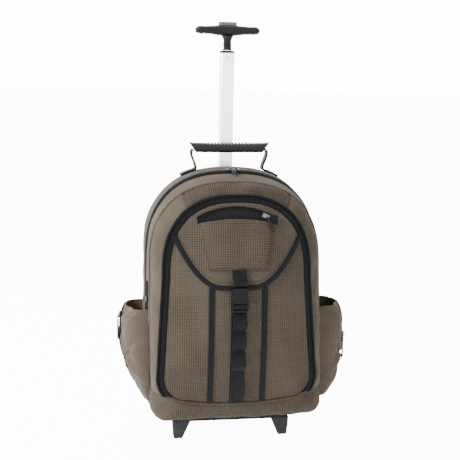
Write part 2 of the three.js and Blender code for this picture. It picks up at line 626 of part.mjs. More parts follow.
// Side-release buckle: a socket with side windows, and a plug with two prongs and a guide inside it
function buckleSocket() {
  const [hw, h] = [BUCKLE.width / 2, BUCKLE.height / 2];
  const low = BUCKLE.top - h;
  const [front, back] = [buckleY - BUCKLE.depth + BUCKLE.wall, buckleY - BUCKLE.wall];
  const body = box([BUCKLE.x - hw, buckleY - BUCKLE.depth, low], [BUCKLE.x + hw, buckleY, BUCKLE.top]);
  const bore = box([BUCKLE.x - hw + 3, front, low - 1], [BUCKLE.x + hw - 3, back, BUCKLE.top - 6]);
  const windows = box([BUCKLE.x - hw - 1, front, low + 5], [BUCKLE.x + hw + 1, back, BUCKLE.top - 8]);
  return cut(body, bore, windows);
}
function bucklePlug() {
  const [hw, h] = [BUCKLE.width / 2, BUCKLE.height / 2];
  const high = BUCKLE.top - h - GAP;
  const [front, back] = [buckleY - BUCKLE.depth, buckleY];
  const [prongFront, prongBack] = [front + BUCKLE.wall + GAP, back - BUCKLE.wall - GAP];
  const body = box([BUCKLE.x - hw, front + 1, buckleBottom], [BUCKLE.x + hw, back, high]);
  const prongs = [-1, 1].map((s) => box(
    [BUCKLE.x + Math.min(s * (hw - 3 - GAP), s * (hw - 8)), prongFront, high - 1],
    [BUCKLE.x + Math.max(s * (hw - 3 - GAP), s * (hw - 8)), prongBack, BUCKLE.top - 10]));
  const guide = box([BUCKLE.x - 2.5, prongFront, high - 1], [BUCKLE.x + 2.5, prongBack, BUCKLE.top - 9]);
  const slots = [buckleBottom + 4, buckleBottom + 12].map((z) =>
    box([BUCKLE.x - hw + 4, front - 1, z], [BUCKLE.x + hw - 4, back + 1, z + BUCKLE.slotHeight]));
  return cut(join(body, ...prongs, guide), ...slots);
}

// Side pockets: a bellows sheet that stands off the bag's side, open at its top

const pocketHeight = POCKET.top - POCKET.bottom;
// Outer face at around -1..1 (front to back) and rise 0..1
function pocketPoint(side, around, rise, inset) {
  const z = POCKET.bottom + pocketHeight * rise;
  const y = POCKET.y + (POCKET.halfDepth - inset) * around;
  const column = side < 0 ? 'left' : 'right';
  const fold = POCKET_FOLDS.reduce((sum, f) => sum
    + f.depth * Math.exp(-(((rise - f.rise - f.slope * (around - f.around)) / f.spread) ** 2)), 0);
  const dome = (1 - Math.abs(around) ** POCKET.exponent) ** (1 / POCKET.exponent);
  const reach = (POCKET.bulge * (readTable(POCKET_SECTIONS, 'rise', rise, column) + fold) - inset) * dome;
  return [sideX(side, y, z) + side * (SEAM + reach), y, z];
}
const pocketRises = spread(0, 1, 8);
function sidePocket(side) {
  const tape = POCKET.tapeWidth / 2 / POCKET.halfDepth;
  const half = [tape, 0.3, 0.5, 0.72, 0.88, 0.97, 1];
  const around = [...half.map((a) => -a).reverse(), ...half];
  // The inner face starts above the floor, which the first ring ties to the bag's side
  const rings = pocketRises.map((rise) => [
    ...around.map((a) => pocketPoint(side, a, rise, 0)),
    ...around.map((a) => pocketPoint(side, a, Math.max(rise, CLOTH / pocketHeight), CLOTH)).reverse(),
  ]);
  const tied = (a, inset, z) => {
    const y = POCKET.y + (POCKET.halfDepth - inset) * a;
    return [sideX(side, y, z) + side * SEAM, y, z];
  };
  const low = POCKET.bottom - 1;
  const floor = [
    ...around.map((a) => tied(a, 0, low)), ...around.map((a) => tied(a, CLOTH, low + CLOTH)).reverse(),
  ];
  return loft([floor, ...rings], 'strip');
}
function pocketTape(side) {
  const edge = POCKET.tapeWidth / 2 / POCKET.halfDepth;
  const rings = pocketRises.filter((rise) => rise >= POCKET.tapeEnd).map((rise) =>
    [[-edge, GAP], [edge, GAP], [edge, GAP + TAPE], [-edge, GAP + TAPE]].map(([around, out]) => {
      const [x, y, z] = pocketPoint(side, around, rise, 0);
      return [x + side * out * 1.2, y, z];
    }));
  return loft(rings);
}

// Zip sliders: a body with a pull that hangs from it

function slider(body, pull) {
  return join(box(...body), box(...pull));
}
function pocketSlider(side) {
  const at = side < 0 ? POCKET.sliderLeft : POCKET.sliderRight;
  const [, y, z] = pocketPoint(side, 0, at, 0);
  const farthest = (from, to) => side * Math.max(...spread(from, to, 12).map((rise) =>
    side * pocketPoint(side, 0, rise, 0)[0]));
  const body = 6 / pocketHeight;
  const out = side * (3 * GAP + 1.2 * TAPE);
  const from = farthest(at - body, at + body) + out;
  const pull = farthest(at - POCKET.pull / pocketHeight, at + body) + out + side;
  const span = (a, b) => [Math.min(a, b), Math.max(a, b)];
  const [bodyX, pullX] = [span(from, pull + side * 2), span(pull, pull + side * 1.7)];
  return slider([[bodyX[0], y - 4, z - 5], [bodyX[1], y + 4, z + 5]],
    [[pullX[0], y - POCKET.pullWidth / 2, z - POCKET.pull], [pullX[1], y + POCKET.pullWidth / 2, z]]);
}
function mainSlider(x) {
  const top = BAG.top + GAP;
  const half = BAG.zipWidth / 2;
  return slider([[x - 4, BAG.zipY - half, top], [x + 4, BAG.zipY + half, top + 4]],
    [[x - 2.5, BAG.zipY - 26, top + 1.8], [x + 2.5, BAG.zipY, top + 3.4]]);
}
function slotSlider() {
  const x = SLOT.right - 10;
  const z = slotTop(x) + SLOT.tapeRise;
  const y = panelY(x, z) - onFlap - SEAM - TAPE - GAP;
  const pull = y - SLOT.lift;
  return slider([[x - 5, pull - 1.6, z + 0.5], [x + 5, y, z + SLOT.zipWidth]],
    [[x + 1, pull - 1.6, z - 22], [x + 4, pull, z + 5]]);
}

// Carry handle

// A half table of sections carried to the other side of its middle
const bothWays = (rows) =>
  [...rows.slice(1).map((row) => ({ ...row, share: -row.share })).reverse(), ...rows];
function carryGrip() {
  const sections = bothWays(CARRY_SECTIONS);
  const rings = sections.map(({ share, up, height, depth }) => spread(0, 1, 9).map((t) => {
    const angle = 2 * Math.PI * t * 9 / 10;
    const squash = (v) => Math.sign(v) * Math.abs(v) ** 0.7;
    return [share * CARRY.halfLength, CARRY.y + squash(Math.cos(angle)) * depth / 2,
      carryZ + up + squash(Math.sin(angle)) * height / 2];
  }));
  return loft(rings);
}
// Height of the grip's underside at x
const gripUnder = (x) => {
  const share = x / CARRY.halfLength;
  const read = (column) => readTable(CARRY_SECTIONS, 'share', share, column);
  const [up, height] = ['up', 'height'].map(read);
  return carryZ + up - height / 2;
};
// Height of the crown at x and y, behind the main zip
const crownZ = (x, y) => {
  const along = (y - BAG.zipY) / BAG.backDepth;
  const read = (column) => readTable(BACK_SECTIONS, 'along', along, column);
  const [width, height] = ['width', 'height'].map(read);
  const o = bagOutline({ width, height, lift: 0 });
  const share = Math.abs(x - leanAt(o.top) * o.lean) / o.half;
  return o.spring + (o.top - o.spring) * (1 - share ** o.exponent) ** (1 / o.exponent);
};
function carryStrap(side) {
  const lift = WEB / 2 + SEAM;
  const half = CARRY.webWidth / 2;
  const anchor = spread(CARRY.anchorX + CARRY.anchorReach, CARRY.anchorX + 4, 4).map((x) =>
    [side * x, CARRY.y, crownZ(side * x, CARRY.y) + lift]);
  const knee = crownZ(side * CARRY.anchorX, CARRY.y) + lift;
  const top = CARRY.anchorX + 6;
  const crownAt = (off) => crownZ(side * CARRY.anchorX, CARRY.y + off);
  const tilt = crownAt(half) - crownAt(-half);
  return strap([
    ...anchor,
    [side * (CARRY.anchorX - 1), CARRY.y, knee + 3],
    [side * (CARRY.anchorX + 1), CARRY.y, knee + 10],
    [side * top, CARRY.y, gripUnder(top) - 6],
    [side * top, CARRY.y, gripUnder(top) - 2.8],
  ], new THREE.Vector3(0, CARRY.webWidth, tilt).normalize().toArray(), CARRY.webWidth, WEB);
}

// Trolley: fixed tube, sliding tube, collar, neck, grip and button

const socketTop = TUBE.top - TUBE.exposed;
const outerWidth = TUBE.width + 2 * (TUBE.slack + TUBE.outerWall);
const outerDepth = TUBE.depth + 2 * (TUBE.slack + TUBE.outerWall);
const outerCorner = TUBE.corner + TUBE.slack + TUBE.outerWall;
const baseTop = BAG.bottom - GAP;
// A bar about the tube's middle line
const tubeBar = (width, depth, radius, low, high, wall = 0) =>
  roundedBar(width, depth, radius, low, high, { y: TUBE.y, wall });
const socketLow = socketTop - SOCKET.height;
const outerTube = () =>
  tubeBar(outerWidth, outerDepth, outerCorner, baseTop + GAP, socketLow - GAP, TUBE.outerWall);
const socketSize = [outerWidth + SOCKET.rim, outerDepth + SOCKET.rim];
const socketWall = SOCKET.rim / 2 + TUBE.slack + TUBE.outerWall - GAP;
const tubeSocket = () => tubeBar(...socketSize, outerCorner, socketLow, socketTop, socketWall);
const innerTube = () =>
  tubeBar(TUBE.width, TUBE.depth, TUBE.corner, socketTop - TUBE.overlap, TUBE.top, TUBE.wall);
const collarTop = TUBE.top + GAP + GRIP.collar;
const tubeCollar = () =>
  tubeBar(TUBE.width + 2, TUBE.depth + 2, TUBE.corner, TUBE.top + GAP, collarTop);
const gripBottom = GRIP.z - GRIP.height / 2;
function gripNeck() {
  const [low, high, r] = [collarTop + GAP, gripBottom + GRIP.flat - GAP, GRIP.neckRadius];
  const height = high - low;
  const profile = NECK_PROFILE.map(([radius, rise]) => new THREE.Vector2(radius * r, low + rise * height));
  const lathe = new THREE.LatheGeometry(profile, 12);
  return lathe.rotateX(Math.PI / 2).translate(0, TUBE.y, 0);
}
function pullGrip() {
  const sections = bothWays(PULL_SECTIONS);
  const rings = sections.map(({ share, height, depth }) => spread(0, 1, 11).map((t) => {
    const angle = 2 * Math.PI * (t * 11 + 0.5) / 12;
    const squash = (v) => Math.sign(v) * Math.abs(v) ** 0.8;
    return [share * GRIP.halfSpan, TUBE.y + squash(Math.cos(angle)) * depth * GRIP.depth / 2,
      GRIP.z + squash(Math.sin(angle)) * height * GRIP.height / 2];
  }));
  const [hw, hd] = [BUTTON.width / 2 + GAP, BUTTON.depth / 2 + GAP];
  const floor = buttonLow - BUTTON.travel - GAP;
  const well = box([-hw, TUBE.y - hd, floor], [hw, TUBE.y + hd, GRIP.z + GRIP.height]);
  // The flat that the neck meets
  const flat = box(
    [-hw - 1.5, TUBE.y - GRIP.depth, gripBottom - 3],
    [hw + 1.5, TUBE.y + GRIP.depth, gripBottom + GRIP.flat]);
  return cut(loft(rings), well, flat);
}
const buttonTop = GRIP.z + GRIP.height / 2 + BUTTON.proud;
const buttonLow = buttonTop - BUTTON.height - BUTTON.proud / 2;
const releaseButton = () => tubeBar(BUTTON.width, BUTTON.depth, 5, buttonLow, buttonTop);

// Back: cover over the fixed tube, padded panel, shoulder straps

const coverOutline = (grow, drop) => ({
  half: COVER.halfWidth + grow, flare: 0, top: COVER.top + drop, bottom: COVER.bottom - grow,
  spring: COVER.spring, corner: COVER.corner, rise: 0, exponent: 2.5, lean: 0,
});
function backCover() {
  const place = (o, y) => outline(o, COVER.spring, 4, 6).map(([x, z]) => [x, y, z]);
  const start = backY + GAP;
  const skin = COVER_SECTIONS.map((r) => place(coverOutline(r.grow, r.drop), start + COVER.depth * r.along));
  const lining = COVER_SECTIONS.map((r) => place(
    shrink(coverOutline(r.grow, r.drop), CLOTH),
    start + Math.min(COVER.depth * r.along, COVER.depth - CLOTH)));
  const shell = loft([...skin.reverse(), ...lining]);
  const [mouthWidth, mouthDepth] = socketSize.map((v) => v + 2 * GAP);
  return cut(shell, tubeBar(mouthWidth, mouthDepth, outerCorner, plateTop, socketTop + 10));
}
function backPanel() {
  const o = {
    half: PAD.halfWidth, flare: 0, top: PAD.top, bottom: PAD.bottom, spring: PAD.spring, corner: PAD.corner,
    rise: 0, exponent: 2.5, lean: 0,
  };
  const start = coverBackY + GAP;
  const rings = PAD_SECTIONS.map(({ inset, along }) =>
    outline(shrink(o, inset), PAD.spring, 5, 8).map(([x, z]) => [x, start + PAD.thickness * along, z]));
  return loft(rings);
}
const routePoint = ({ x, back, z }) => [x, coverBackY + back, z];
const shoulderStrap = () =>
  strap(SHOULDER_ROUTE.map(routePoint), [1, 0, 0], SHOULDER.width, SHOULDER.thickness, 0.25);
// Points that carry on straight below the strap's end
const [strapBend, strapEnd] = SHOULDER_ROUTE.slice(-2).map((row) => new THREE.Vector3(...routePoint(row)));
const strapRun = strapEnd.clone().sub(strapBend).normalize();
const belowStrap = (by) => strapEnd.clone().addScaledVector(strapRun, by).toArray();
const strapAdjuster = () => strap(
  [belowStrap(GAP), belowStrap(GAP + SHOULDER.adjuster)], [1, 0, 0], SHOULDER.webWidth + 8, 5, 0.12);
const lowerWebbing = () => strap([
  belowStrap(2 * GAP + SHOULDER.adjuster),
  belowStrap(SHOULDER.adjuster + 8),
  ...LOWER_WEB_ROUTE.map(routePoint),
], [1, 0, 0], SHOULDER.webWidth, WEB);

// Base, feet and wheels

const plateTop = baseTop;
const plateLow = plateTop - BASE.thickness;
function basePlate() {
  const plateAt = { y: (BASE.front + BASE.rear) / 2, segments: 4 };
  const plate = roundedBar(
    2 * BASE.halfWidth, BASE.rear - BASE.front, BASE.corner, plateLow, plateTop, plateAt);
  const shoeHalf = [outerWidth / 2 + GAP, outerDepth / 2 + GAP];
  const rear = TUBE.y + shoeHalf[1] + BASE.shoeWall;
  const tongue = box([-BASE.tongue, BASE.rear - BASE.corner, plateLow], [BASE.tongue, rear, plateTop]);
  // A shoe that the fixed tube stands in
  const shoeX = shoeHalf[0] + BASE.shoeWall;
  const shoe = box([-shoeX, backY + 1.5, plateLow + 1], [shoeX, rear, plateTop + BASE.shoe]);
  const [width, depth] = shoeHalf.map((v) => 2 * v);
  const hole = tubeBar(width, depth, outerCorner + GAP, plateTop, plateTop + BASE.shoe + 1);
  return cut(join(plate, tongue, shoe), hole);
}
function foot(side) {
  const top = plateLow - GAP;
  const shape = new THREE.Shape([
    [FOOT.outer - 1, 0], [FOOT.outer, 6], [FOOT.outer + 2, top], [FOOT.topInner, top],
    [FOOT.topInner + 3, top - 5], [FOOT.bottomInner, 0],
  ].map(([x, z]) => new THREE.Vector2(x, z)));
  const post = new THREE.ExtrudeGeometry(shape, { depth: FOOT.depth, bevelEnabled: false });
  post.rotateX(Math.PI / 2).translate(0, FOOT.y + FOOT.depth / 2, 0);
  const inset = FOOT.toe;
  const wedge = (sign) => slabX([
    [FOOT.y + sign * (FOOT.depth / 2 + 1), -1], [FOOT.y + sign * (FOOT.depth / 2 - inset), -1],
    [FOOT.y + sign * (FOOT.depth / 2 + 1), top * 0.9],
  ], 0, FOOT.outer + 10);
  const right = cut(post, wedge(-1), wedge(1));
  return side > 0 ? right : mirrorX(right);
}
const wheelZ = WHEEL.radius;
const cheekInner = WHEEL.width / 2 + WHEEL.side;
const fenderRadius = WHEEL.radius + 2.5;
function wheelHousing(side) {
  const outerRadius = fenderRadius + WHEEL.fender;
  const [x0, x1] = [WHEEL.x - cheekInner - WHEEL.cheek, WHEEL.x + cheekInner + WHEEL.cheek];
  const [y0, y1] = [WHEEL.y - outerRadius - 1, WHEEL.y + outerRadius + 1];
  const block = rod(outerRadius, x1 - x0, WHEEL.x, WHEEL.y, wheelZ, 24);
  const lug = box([x0, BASE.rear + GAP, plateLow], [x1, WHEEL.y - 10, plateTop]);
  const room = rod(fenderRadius, 2 * cheekInner, WHEEL.x, WHEEL.y, wheelZ, 24);
  const below = box([x0 - 1, y0, wheelZ - outerRadius - 1], [x1 + 1, y1, wheelZ - WHEEL.mouth]);
  const bore = rod(WHEEL.axle + GAP, x1 - x0 + 4, WHEEL.x, WHEEL.y, wheelZ);
  const right = cut(join(block, lug), room, below, bore);
  return side > 0 ? right : mirrorX(right);
}
function axle(side) {
  const reach = cheekInner + WHEEL.cheek + GAP;
  const right = join(
    rod(WHEEL.axle, 2 * reach + 2, WHEEL.x, WHEEL.y, wheelZ),
    rod(WHEEL.axle + 2.5, 2, WHEEL.x - reach - 1, WHEEL.y, wheelZ),
    rod(WHEEL.axle + 2.5, 2, WHEEL.x + reach + 1, WHEEL.y, wheelZ));
  return side > 0 ? right : mirrorX(right);
}
// A closed ring profile [distance along the axle, radius] turned about the axle
function turned(profile, side, sides = 16) {
  const points = [...profile, profile[0]].map(([along, radius]) => new THREE.Vector2(radius, along));
  return new THREE.LatheGeometry(points, sides)
    .rotateZ(Math.PI / 2).translate(side * WHEEL.x, WHEEL.y, wheelZ);
}
function wheelHub(side) {
  const half = WHEEL.width / 2;
  const rim = WHEEL.radius - WHEEL.tyre - GAP;
  const bore = WHEEL.axle + WHEEL.running;
  return turned([
    [-half - 0.6, bore], [-half - 0.6, bore + 4], [-half + 5, bore + 5], [-half + 5, rim - 3],
    [-half + 1, rim], [half - 1, rim], [half - 5, rim - 3], [half - 5, bore + 5], [half + 0.6, bore + 4],
    [half + 0.6, bore],
  ], side);
}
function tyre(side) {
  const half = WHEEL.width / 2;
  const [inner, outer] = [WHEEL.radius - WHEEL.tyre, WHEEL.radius];
  return turned([
    [-half, inner], [-half, outer - 4], [-half + 4, outer], [half - 4, outer], [half, outer - 4],
    [half, inner],
  ], side, 22);
}

// The assembled backpack

const backpack = new THREE.Group();
const add = (name, geometry, material) => {
  const mesh = new THREE.Mesh(geometry, material());
  mesh.name = name;
  backpack.add(mesh);
};
const bothSides = (name, make, material) => [['left', -1], ['right', 1]].forEach(([word, side]) =>
  add(`${name}_${word}`, make(side), material));

add('main_back', mainTub(BACK_SECTIONS, BAG.backDepth, 1), TAUPE);
add('main_front', mainTub(FRONT_SECTIONS, BAG.frontDepth, -1), TAUPE);
add('main_zip', mainZip(), BLACK_WEB);
add('front_gusset', frontGusset(), TAUPE);
add('bottom_wrap', bottomWrap(), TAUPE);
add('front_panel', frontPanel(), TAUPE);
add('front_zip', frontZip(), BLACK_WEB);
add('front_flap', frontFlap(), TAUPE);
add('flap_binding', flapBinding(), BLACK_WEB);
add('slot_pocket', slotPocket(), TAUPE_DARK);
add('slot_zip', slotZip(), BLACK_WEB);
add('slot_slider', slotSlider(), NICKEL);
add('trim_strip_left', trimStrip(STRIP.left), BLACK_WEB);
add('trim_strip_right', trimStrip(STRIP.right), BLACK_WEB);
add('daisy_backing', daisyBacking(), BLACK_WEB);
add('daisy_strap', daisyStrap(), BLACK_WEB);
add('buckle_tab', buckleTab(), BLACK_WEB);
add('buckle_socket', buckleSocket(), BLACK_PLASTIC);
add('buckle_plug', bucklePlug(), BLACK_PLASTIC);
bothSides('side_pocket', sidePocket, TAUPE_DARK);
bothSides('pocket_tape', pocketTape, BLACK_WEB);
bothSides('pocket_slider', pocketSlider, NICKEL);
add('main_slider_left', mainSlider(-6), NICKEL);
add('main_slider_right', mainSlider(8), NICKEL);
add('carry_grip', carryGrip(), GREY_PLASTIC);
bothSides('carry_strap', carryStrap, BLACK_WEB);
add('outer_tube', outerTube(), ALUMINIUM);
add('tube_socket', tubeSocket(), BLACK_PLASTIC);
add('inner_tube', innerTube(), ALUMINIUM);
add('tube_collar', tubeCollar(), BLACK_PLASTIC);
add('grip_neck', gripNeck(), BLACK_PLASTIC);
add('pull_grip', pullGrip(), BLACK_PLASTIC);
add('release_button', releaseButton(), BUTTON_GREY);
add('back_cover', backCover(), TAUPE_DARK);
add('back_panel', backPanel(), MESH_FOAM);
bothSides('shoulder_strap', (side) => (side > 0 ? shoulderStrap() : mirrorX(shoulderStrap())), MESH_FOAM);
bothSides('strap_adjuster', (side) => (side > 0 ? strapAdjuster() : mirrorX(strapAdjuster())), BLACK_PLASTIC);
bothSides('lower_webbing', (side) => (side > 0 ? lowerWebbing() : mirrorX(lowerWebbing())), BLACK_WEB);
add('base_plate', basePlate(), BLACK_PLASTIC);
bothSides('foot', foot, GREY_PLASTIC);
bothSides('wheel_housing', wheelHousing, BLACK_PLASTIC);
bothSides('axle', axle, NICKEL);
bothSides('wheel_hub', wheelHub, GREY_PLASTIC);
bothSides('tyre', tyre, RUBBER);

const bounds = new THREE.Box3().setFromObject(backpack);
const centre = bounds.getCenter(new THREE.Vector3());
backpack.position.set(-centre.x, -centre.y, -bounds.min.z);

export default backpack;
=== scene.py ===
"""Looks of a wheeled backpack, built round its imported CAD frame.

Shapes are worked out in the part's own frame: millimetres, +Z up, -Y the bag's front, X = 0 through the
trolley tube. Workshop.place turns them into the row frame, in metres.
"""

from __future__ import annotations

import json
import logging
import math
from dataclasses import dataclass, field, replace
from enum import Enum

import bmesh
import bpy
import numpy as np
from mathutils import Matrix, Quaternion, Vector

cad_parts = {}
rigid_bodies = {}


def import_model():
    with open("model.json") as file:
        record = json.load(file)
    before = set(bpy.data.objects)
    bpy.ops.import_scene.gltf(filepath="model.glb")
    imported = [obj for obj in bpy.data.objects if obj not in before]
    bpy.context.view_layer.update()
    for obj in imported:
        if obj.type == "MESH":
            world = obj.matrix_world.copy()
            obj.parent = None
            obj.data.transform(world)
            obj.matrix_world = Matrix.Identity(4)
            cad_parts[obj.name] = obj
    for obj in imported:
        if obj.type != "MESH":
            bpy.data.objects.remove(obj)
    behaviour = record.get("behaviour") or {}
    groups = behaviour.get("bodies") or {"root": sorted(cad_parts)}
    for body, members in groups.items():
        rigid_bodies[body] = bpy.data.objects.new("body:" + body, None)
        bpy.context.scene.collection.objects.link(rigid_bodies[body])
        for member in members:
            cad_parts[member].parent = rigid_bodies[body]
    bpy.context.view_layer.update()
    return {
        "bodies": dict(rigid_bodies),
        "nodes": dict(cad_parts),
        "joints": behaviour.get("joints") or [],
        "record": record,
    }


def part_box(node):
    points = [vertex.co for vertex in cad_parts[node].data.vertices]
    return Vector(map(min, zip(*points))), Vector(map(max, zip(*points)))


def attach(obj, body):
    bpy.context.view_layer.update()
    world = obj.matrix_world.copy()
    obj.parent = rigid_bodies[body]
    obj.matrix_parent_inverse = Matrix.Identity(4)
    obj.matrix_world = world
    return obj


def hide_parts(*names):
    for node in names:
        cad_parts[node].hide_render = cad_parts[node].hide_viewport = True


Array = np.ndarray
Object = bpy.types.Object
Material = bpy.types.Material
log = logging.getLogger("backpack")

GAP = 0.3
SEAM = 0.6
WALL = 2.5
CLOTH = 2.0
TAPE = 1.6
WEB = 2.0
SIDES = (("left", -1), ("right", 1))


class Body(Enum):
    """The CAD bodies that pieces ride on."""

    BAG = "bag"
    HANDLE = "handle"
    BUTTON = "button"
    WHEEL_LEFT = "wheel_left"
    WHEEL_RIGHT = "wheel_right"


# Finishes


def linear(colour: str) -> tuple[float, float, float, float]:
    """Turns an sRGB hex colour into linear red, green, blue and full alpha.

    Args:
        colour: six hex digits after a hash sign.

    Returns:
        The linear colour.
    """
    channels = [int(colour[i : i + 2], 16) / 255 for i in (1, 3, 5)]
    curve = [c / 12.92 if c <= 0.04045 else ((c + 0.055) / 1.055) ** 2.4 for c in channels]
    return (*curve, 1.0)


def add_node(
    tree: bpy.types.NodeTree, kind: str, values: dict | None = None, links: dict | None = None,
    **settings: object
) -> bpy.types.Node:
    """Adds a node, gives its sockets their values and links, and returns it.

    Args:
        tree: the node tree it goes in.
        kind: the node's type name.
        values: socket names or numbers to plain values.
        links: socket names or numbers to the output sockets that feed them.
        settings: the node's own settings.

    Returns:
        The new node.
    """
    node = tree.nodes.new(kind)
    for name, value in settings.items():
        setattr(node, name, value)
    for name, value in (values or {}).items():
        node.inputs[name].default_value = value
    for name, output in (links or {}).items():
        tree.links.new(output, node.inputs[name])
    return node


def repeat(tree: bpy.types.NodeTree, coordinate: bpy.types.NodeSocket,
           period_mm: float) -> bpy.types.NodeSocket:
    """Height of a round thread that repeats along a coordinate: the size of sin(pi x / period), 0 between
    threads.

    Args:
        tree: the node tree.
        coordinate: a length in metres.
        period_mm: distance from one thread to the next.

    Returns:
        The socket that carries the height.
    """
    turn = add_node(tree, "ShaderNodeMath", {1: math.pi * 1000 / period_mm}, {0: coordinate},
                    operation="MULTIPLY")
    sine = add_node(tree, "ShaderNodeMath", links={0: turn.outputs[0]}, operation="SINE")
    return add_node(tree, "ShaderNodeMath", links={0: sine.outputs[0]}, operation="ABSOLUTE").outputs[0]


@dataclass(frozen=True)
class Finish:
    """A material: its name, colours and the principled shader's plain values."""

    name: str
    colour: str
    shade: str
    roughness: float
    ior: float = 1.5
    metallic: float = 0.0
    sheen: float = 0.0
    coat: float = 0.0
    # Grained and woven surfaces mirror less than their index of refraction says, because they shade
    # themselves
    mirror: float = 0.09

    def start(self) -> tuple[Material, bpy.types.NodeTree, bpy.types.Node]:
        """Makes the material with its shader.

        Returns:
            The material, its node tree and its principled shader.
        """
        material = bpy.data.materials.new(self.name)
        material.use_nodes = True
        tree = material.node_tree
        shader = tree.nodes["Principled BSDF"]
        plain = {"Roughness": self.roughness, "IOR": self.ior, "Metallic": self.metallic}
        plain |= {"Sheen Weight": self.sheen, "Coat Weight": self.coat, "Specular IOR Level": self.mirror}
        for name, value in plain.items():
            shader.inputs[name].default_value = value
        shader.inputs["Sheen Roughness"].default_value = 0.4
        return material, tree, shader

    def blend(self, tree: bpy.types.NodeTree, factor: bpy.types.NodeSocket) -> bpy.types.Node:
        """Adds a mix from the colour to the shade by a factor and returns the node."""
        mix = add_node(tree, "ShaderNodeMix", {6: linear(self.colour), 7: linear(self.shade)}, {0: factor},
                       data_type="RGBA")
        return mix

    def relief(
        self, tree: bpy.types.NodeTree, shader: bpy.types.Node, height: bpy.types.NodeSocket, depth_mm: float
    ) -> None:
        """Links a bump of a real depth in millimetres to the shader."""
        bump = add_node(tree, "ShaderNodeBump", {"Strength": 1.0, "Distance": depth_mm / 1000},
                        {"Height": height})
        tree.links.new(bump.outputs[0], shader.inputs["Normal"])


@dataclass(frozen=True)
class Woven(Finish):
    """Woven polyester with a small box weave: matt, a little fuzzy, with threads of slightly different
    tones."""

    # The real grid repeats about every 1.5 mm, too fine for the render, so it is drawn coarser
    across_mm: float = 4.3
    along_mm: float = 4.3
    depth_mm: float = 0.5
    contrast: float = 0.74
    mirror: float = 0.2

    def material(self) -> Material:
        """Builds the weave: a grid of sunk lines between raised boxes, threads inside them and slow tone
        changes."""
        material, tree, shader = self.start()
        uv = add_node(tree, "ShaderNodeUVMap", uv_map="UVMap")
        split = add_node(tree, "ShaderNodeSeparateXYZ", links={0: uv.outputs[0]})
        across = repeat(tree, split.outputs[0], self.across_mm)
        along = repeat(tree, split.outputs[1], self.along_mm)
        # Upright grooves are a little deeper than level ones
        level = add_node(tree, "ShaderNodeMath", {1: 0.95, 2: 0.05}, {0: along}, operation="MULTIPLY_ADD")
        box = add_node(tree, "ShaderNodeMath", links={0: across, 1: level.outputs[0]}, operation="MINIMUM")
        line = add_node(tree, "ShaderNodeMapRange", {1: 0.05, 2: 0.7, 3: 1.0, 4: 0.0}, {0: box.outputs[0]})
        # Single threads, 0.9 mm apart, drawn as unevenness
        thread = add_node(tree, "ShaderNodeTexNoise", {"Scale": 900.0, "Detail": 2.0}, {0: uv.outputs[0]})
        place = add_node(tree, "ShaderNodeTexCoord")
        slow = add_node(tree, "ShaderNodeTexNoise", {"Scale": 14.0, "Detail": 3.0},
                        {0: place.outputs["Object"]})
        faded = add_node(tree, "ShaderNodeMath", {1: self.contrast}, {0: line.outputs[0]},
                         operation="MULTIPLY")
        grain = add_node(tree, "ShaderNodeMath", {1: 0.5}, {0: thread.outputs[0]}, operation="SUBTRACT")
        tone = add_node(tree, "ShaderNodeMath", {1: 0.5, 2: 0.0}, {0: grain.outputs[0], 2: faded.outputs[0]},
                        operation="MULTIPLY_ADD")
        drift = add_node(tree, "ShaderNodeMath", {1: 0.5}, {0: slow.outputs[0]}, operation="SUBTRACT")
        whole = add_node(tree, "ShaderNodeMath", {1: 0.7}, {0: drift.outputs[0], 2: tone.outputs[0]},
                         operation="MULTIPLY_ADD")
        mix = self.blend(tree, whole.outputs[0])
        mix.clamp_factor = True
        tree.links.new(mix.outputs[2], shader.inputs["Base Color"])
        height = add_node(tree, "ShaderNodeMath", {1: 0.35}, {0: thread.outputs[0], 2: box.outputs[0]},
                          operation="MULTIPLY_ADD")
        self.relief(tree, shader, height.outputs[0], self.depth_mm)
        return material


@dataclass(frozen=True)
class Webbing(Finish):
    """Polypropylene webbing: ribs across it, a tighter edge and a low sheen along the ribs."""

    # Real ribs are 1 mm apart, and they are drawn at twice that so that they show
    rib_mm: float = 2.2
    cord_mm: float = 3.2
    mirror: float = 0.07

    def material(self) -> Material:
        """Builds ribs across the webbing and cords along it."""
        material, tree, shader = self.start()
        uv = add_node(tree, "ShaderNodeUVMap", uv_map="UVMap")
        split = add_node(tree, "ShaderNodeSeparateXYZ", links={0: uv.outputs[0]})
        rib = repeat(tree, split.outputs[1], self.rib_mm)
        cord = repeat(tree, split.outputs[0], self.cord_mm)
        noise = add_node(tree, "ShaderNodeTexNoise", {"Scale": 400.0, "Detail": 3.0}, {0: uv.outputs[0]})
        weave = add_node(tree, "ShaderNodeMath", {1: 0.35}, {0: cord, 2: rib}, operation="MULTIPLY_ADD")
        tone = add_node(tree, "ShaderNodeMath", {1: 0.6}, {0: noise.outputs[0], 2: weave.outputs[0]},
                        operation="MULTIPLY_ADD")
        share = add_node(tree, "ShaderNodeMapRange", {1: 0.3, 2: 1.6, 3: 0.0, 4: 1.0}, {0: tone.outputs[0]})
        tree.links.new(self.blend(tree, share.outputs[0]).outputs[2], shader.inputs["Base Color"])
        self.relief(tree, shader, weave.outputs[0], 0.5)
        return material


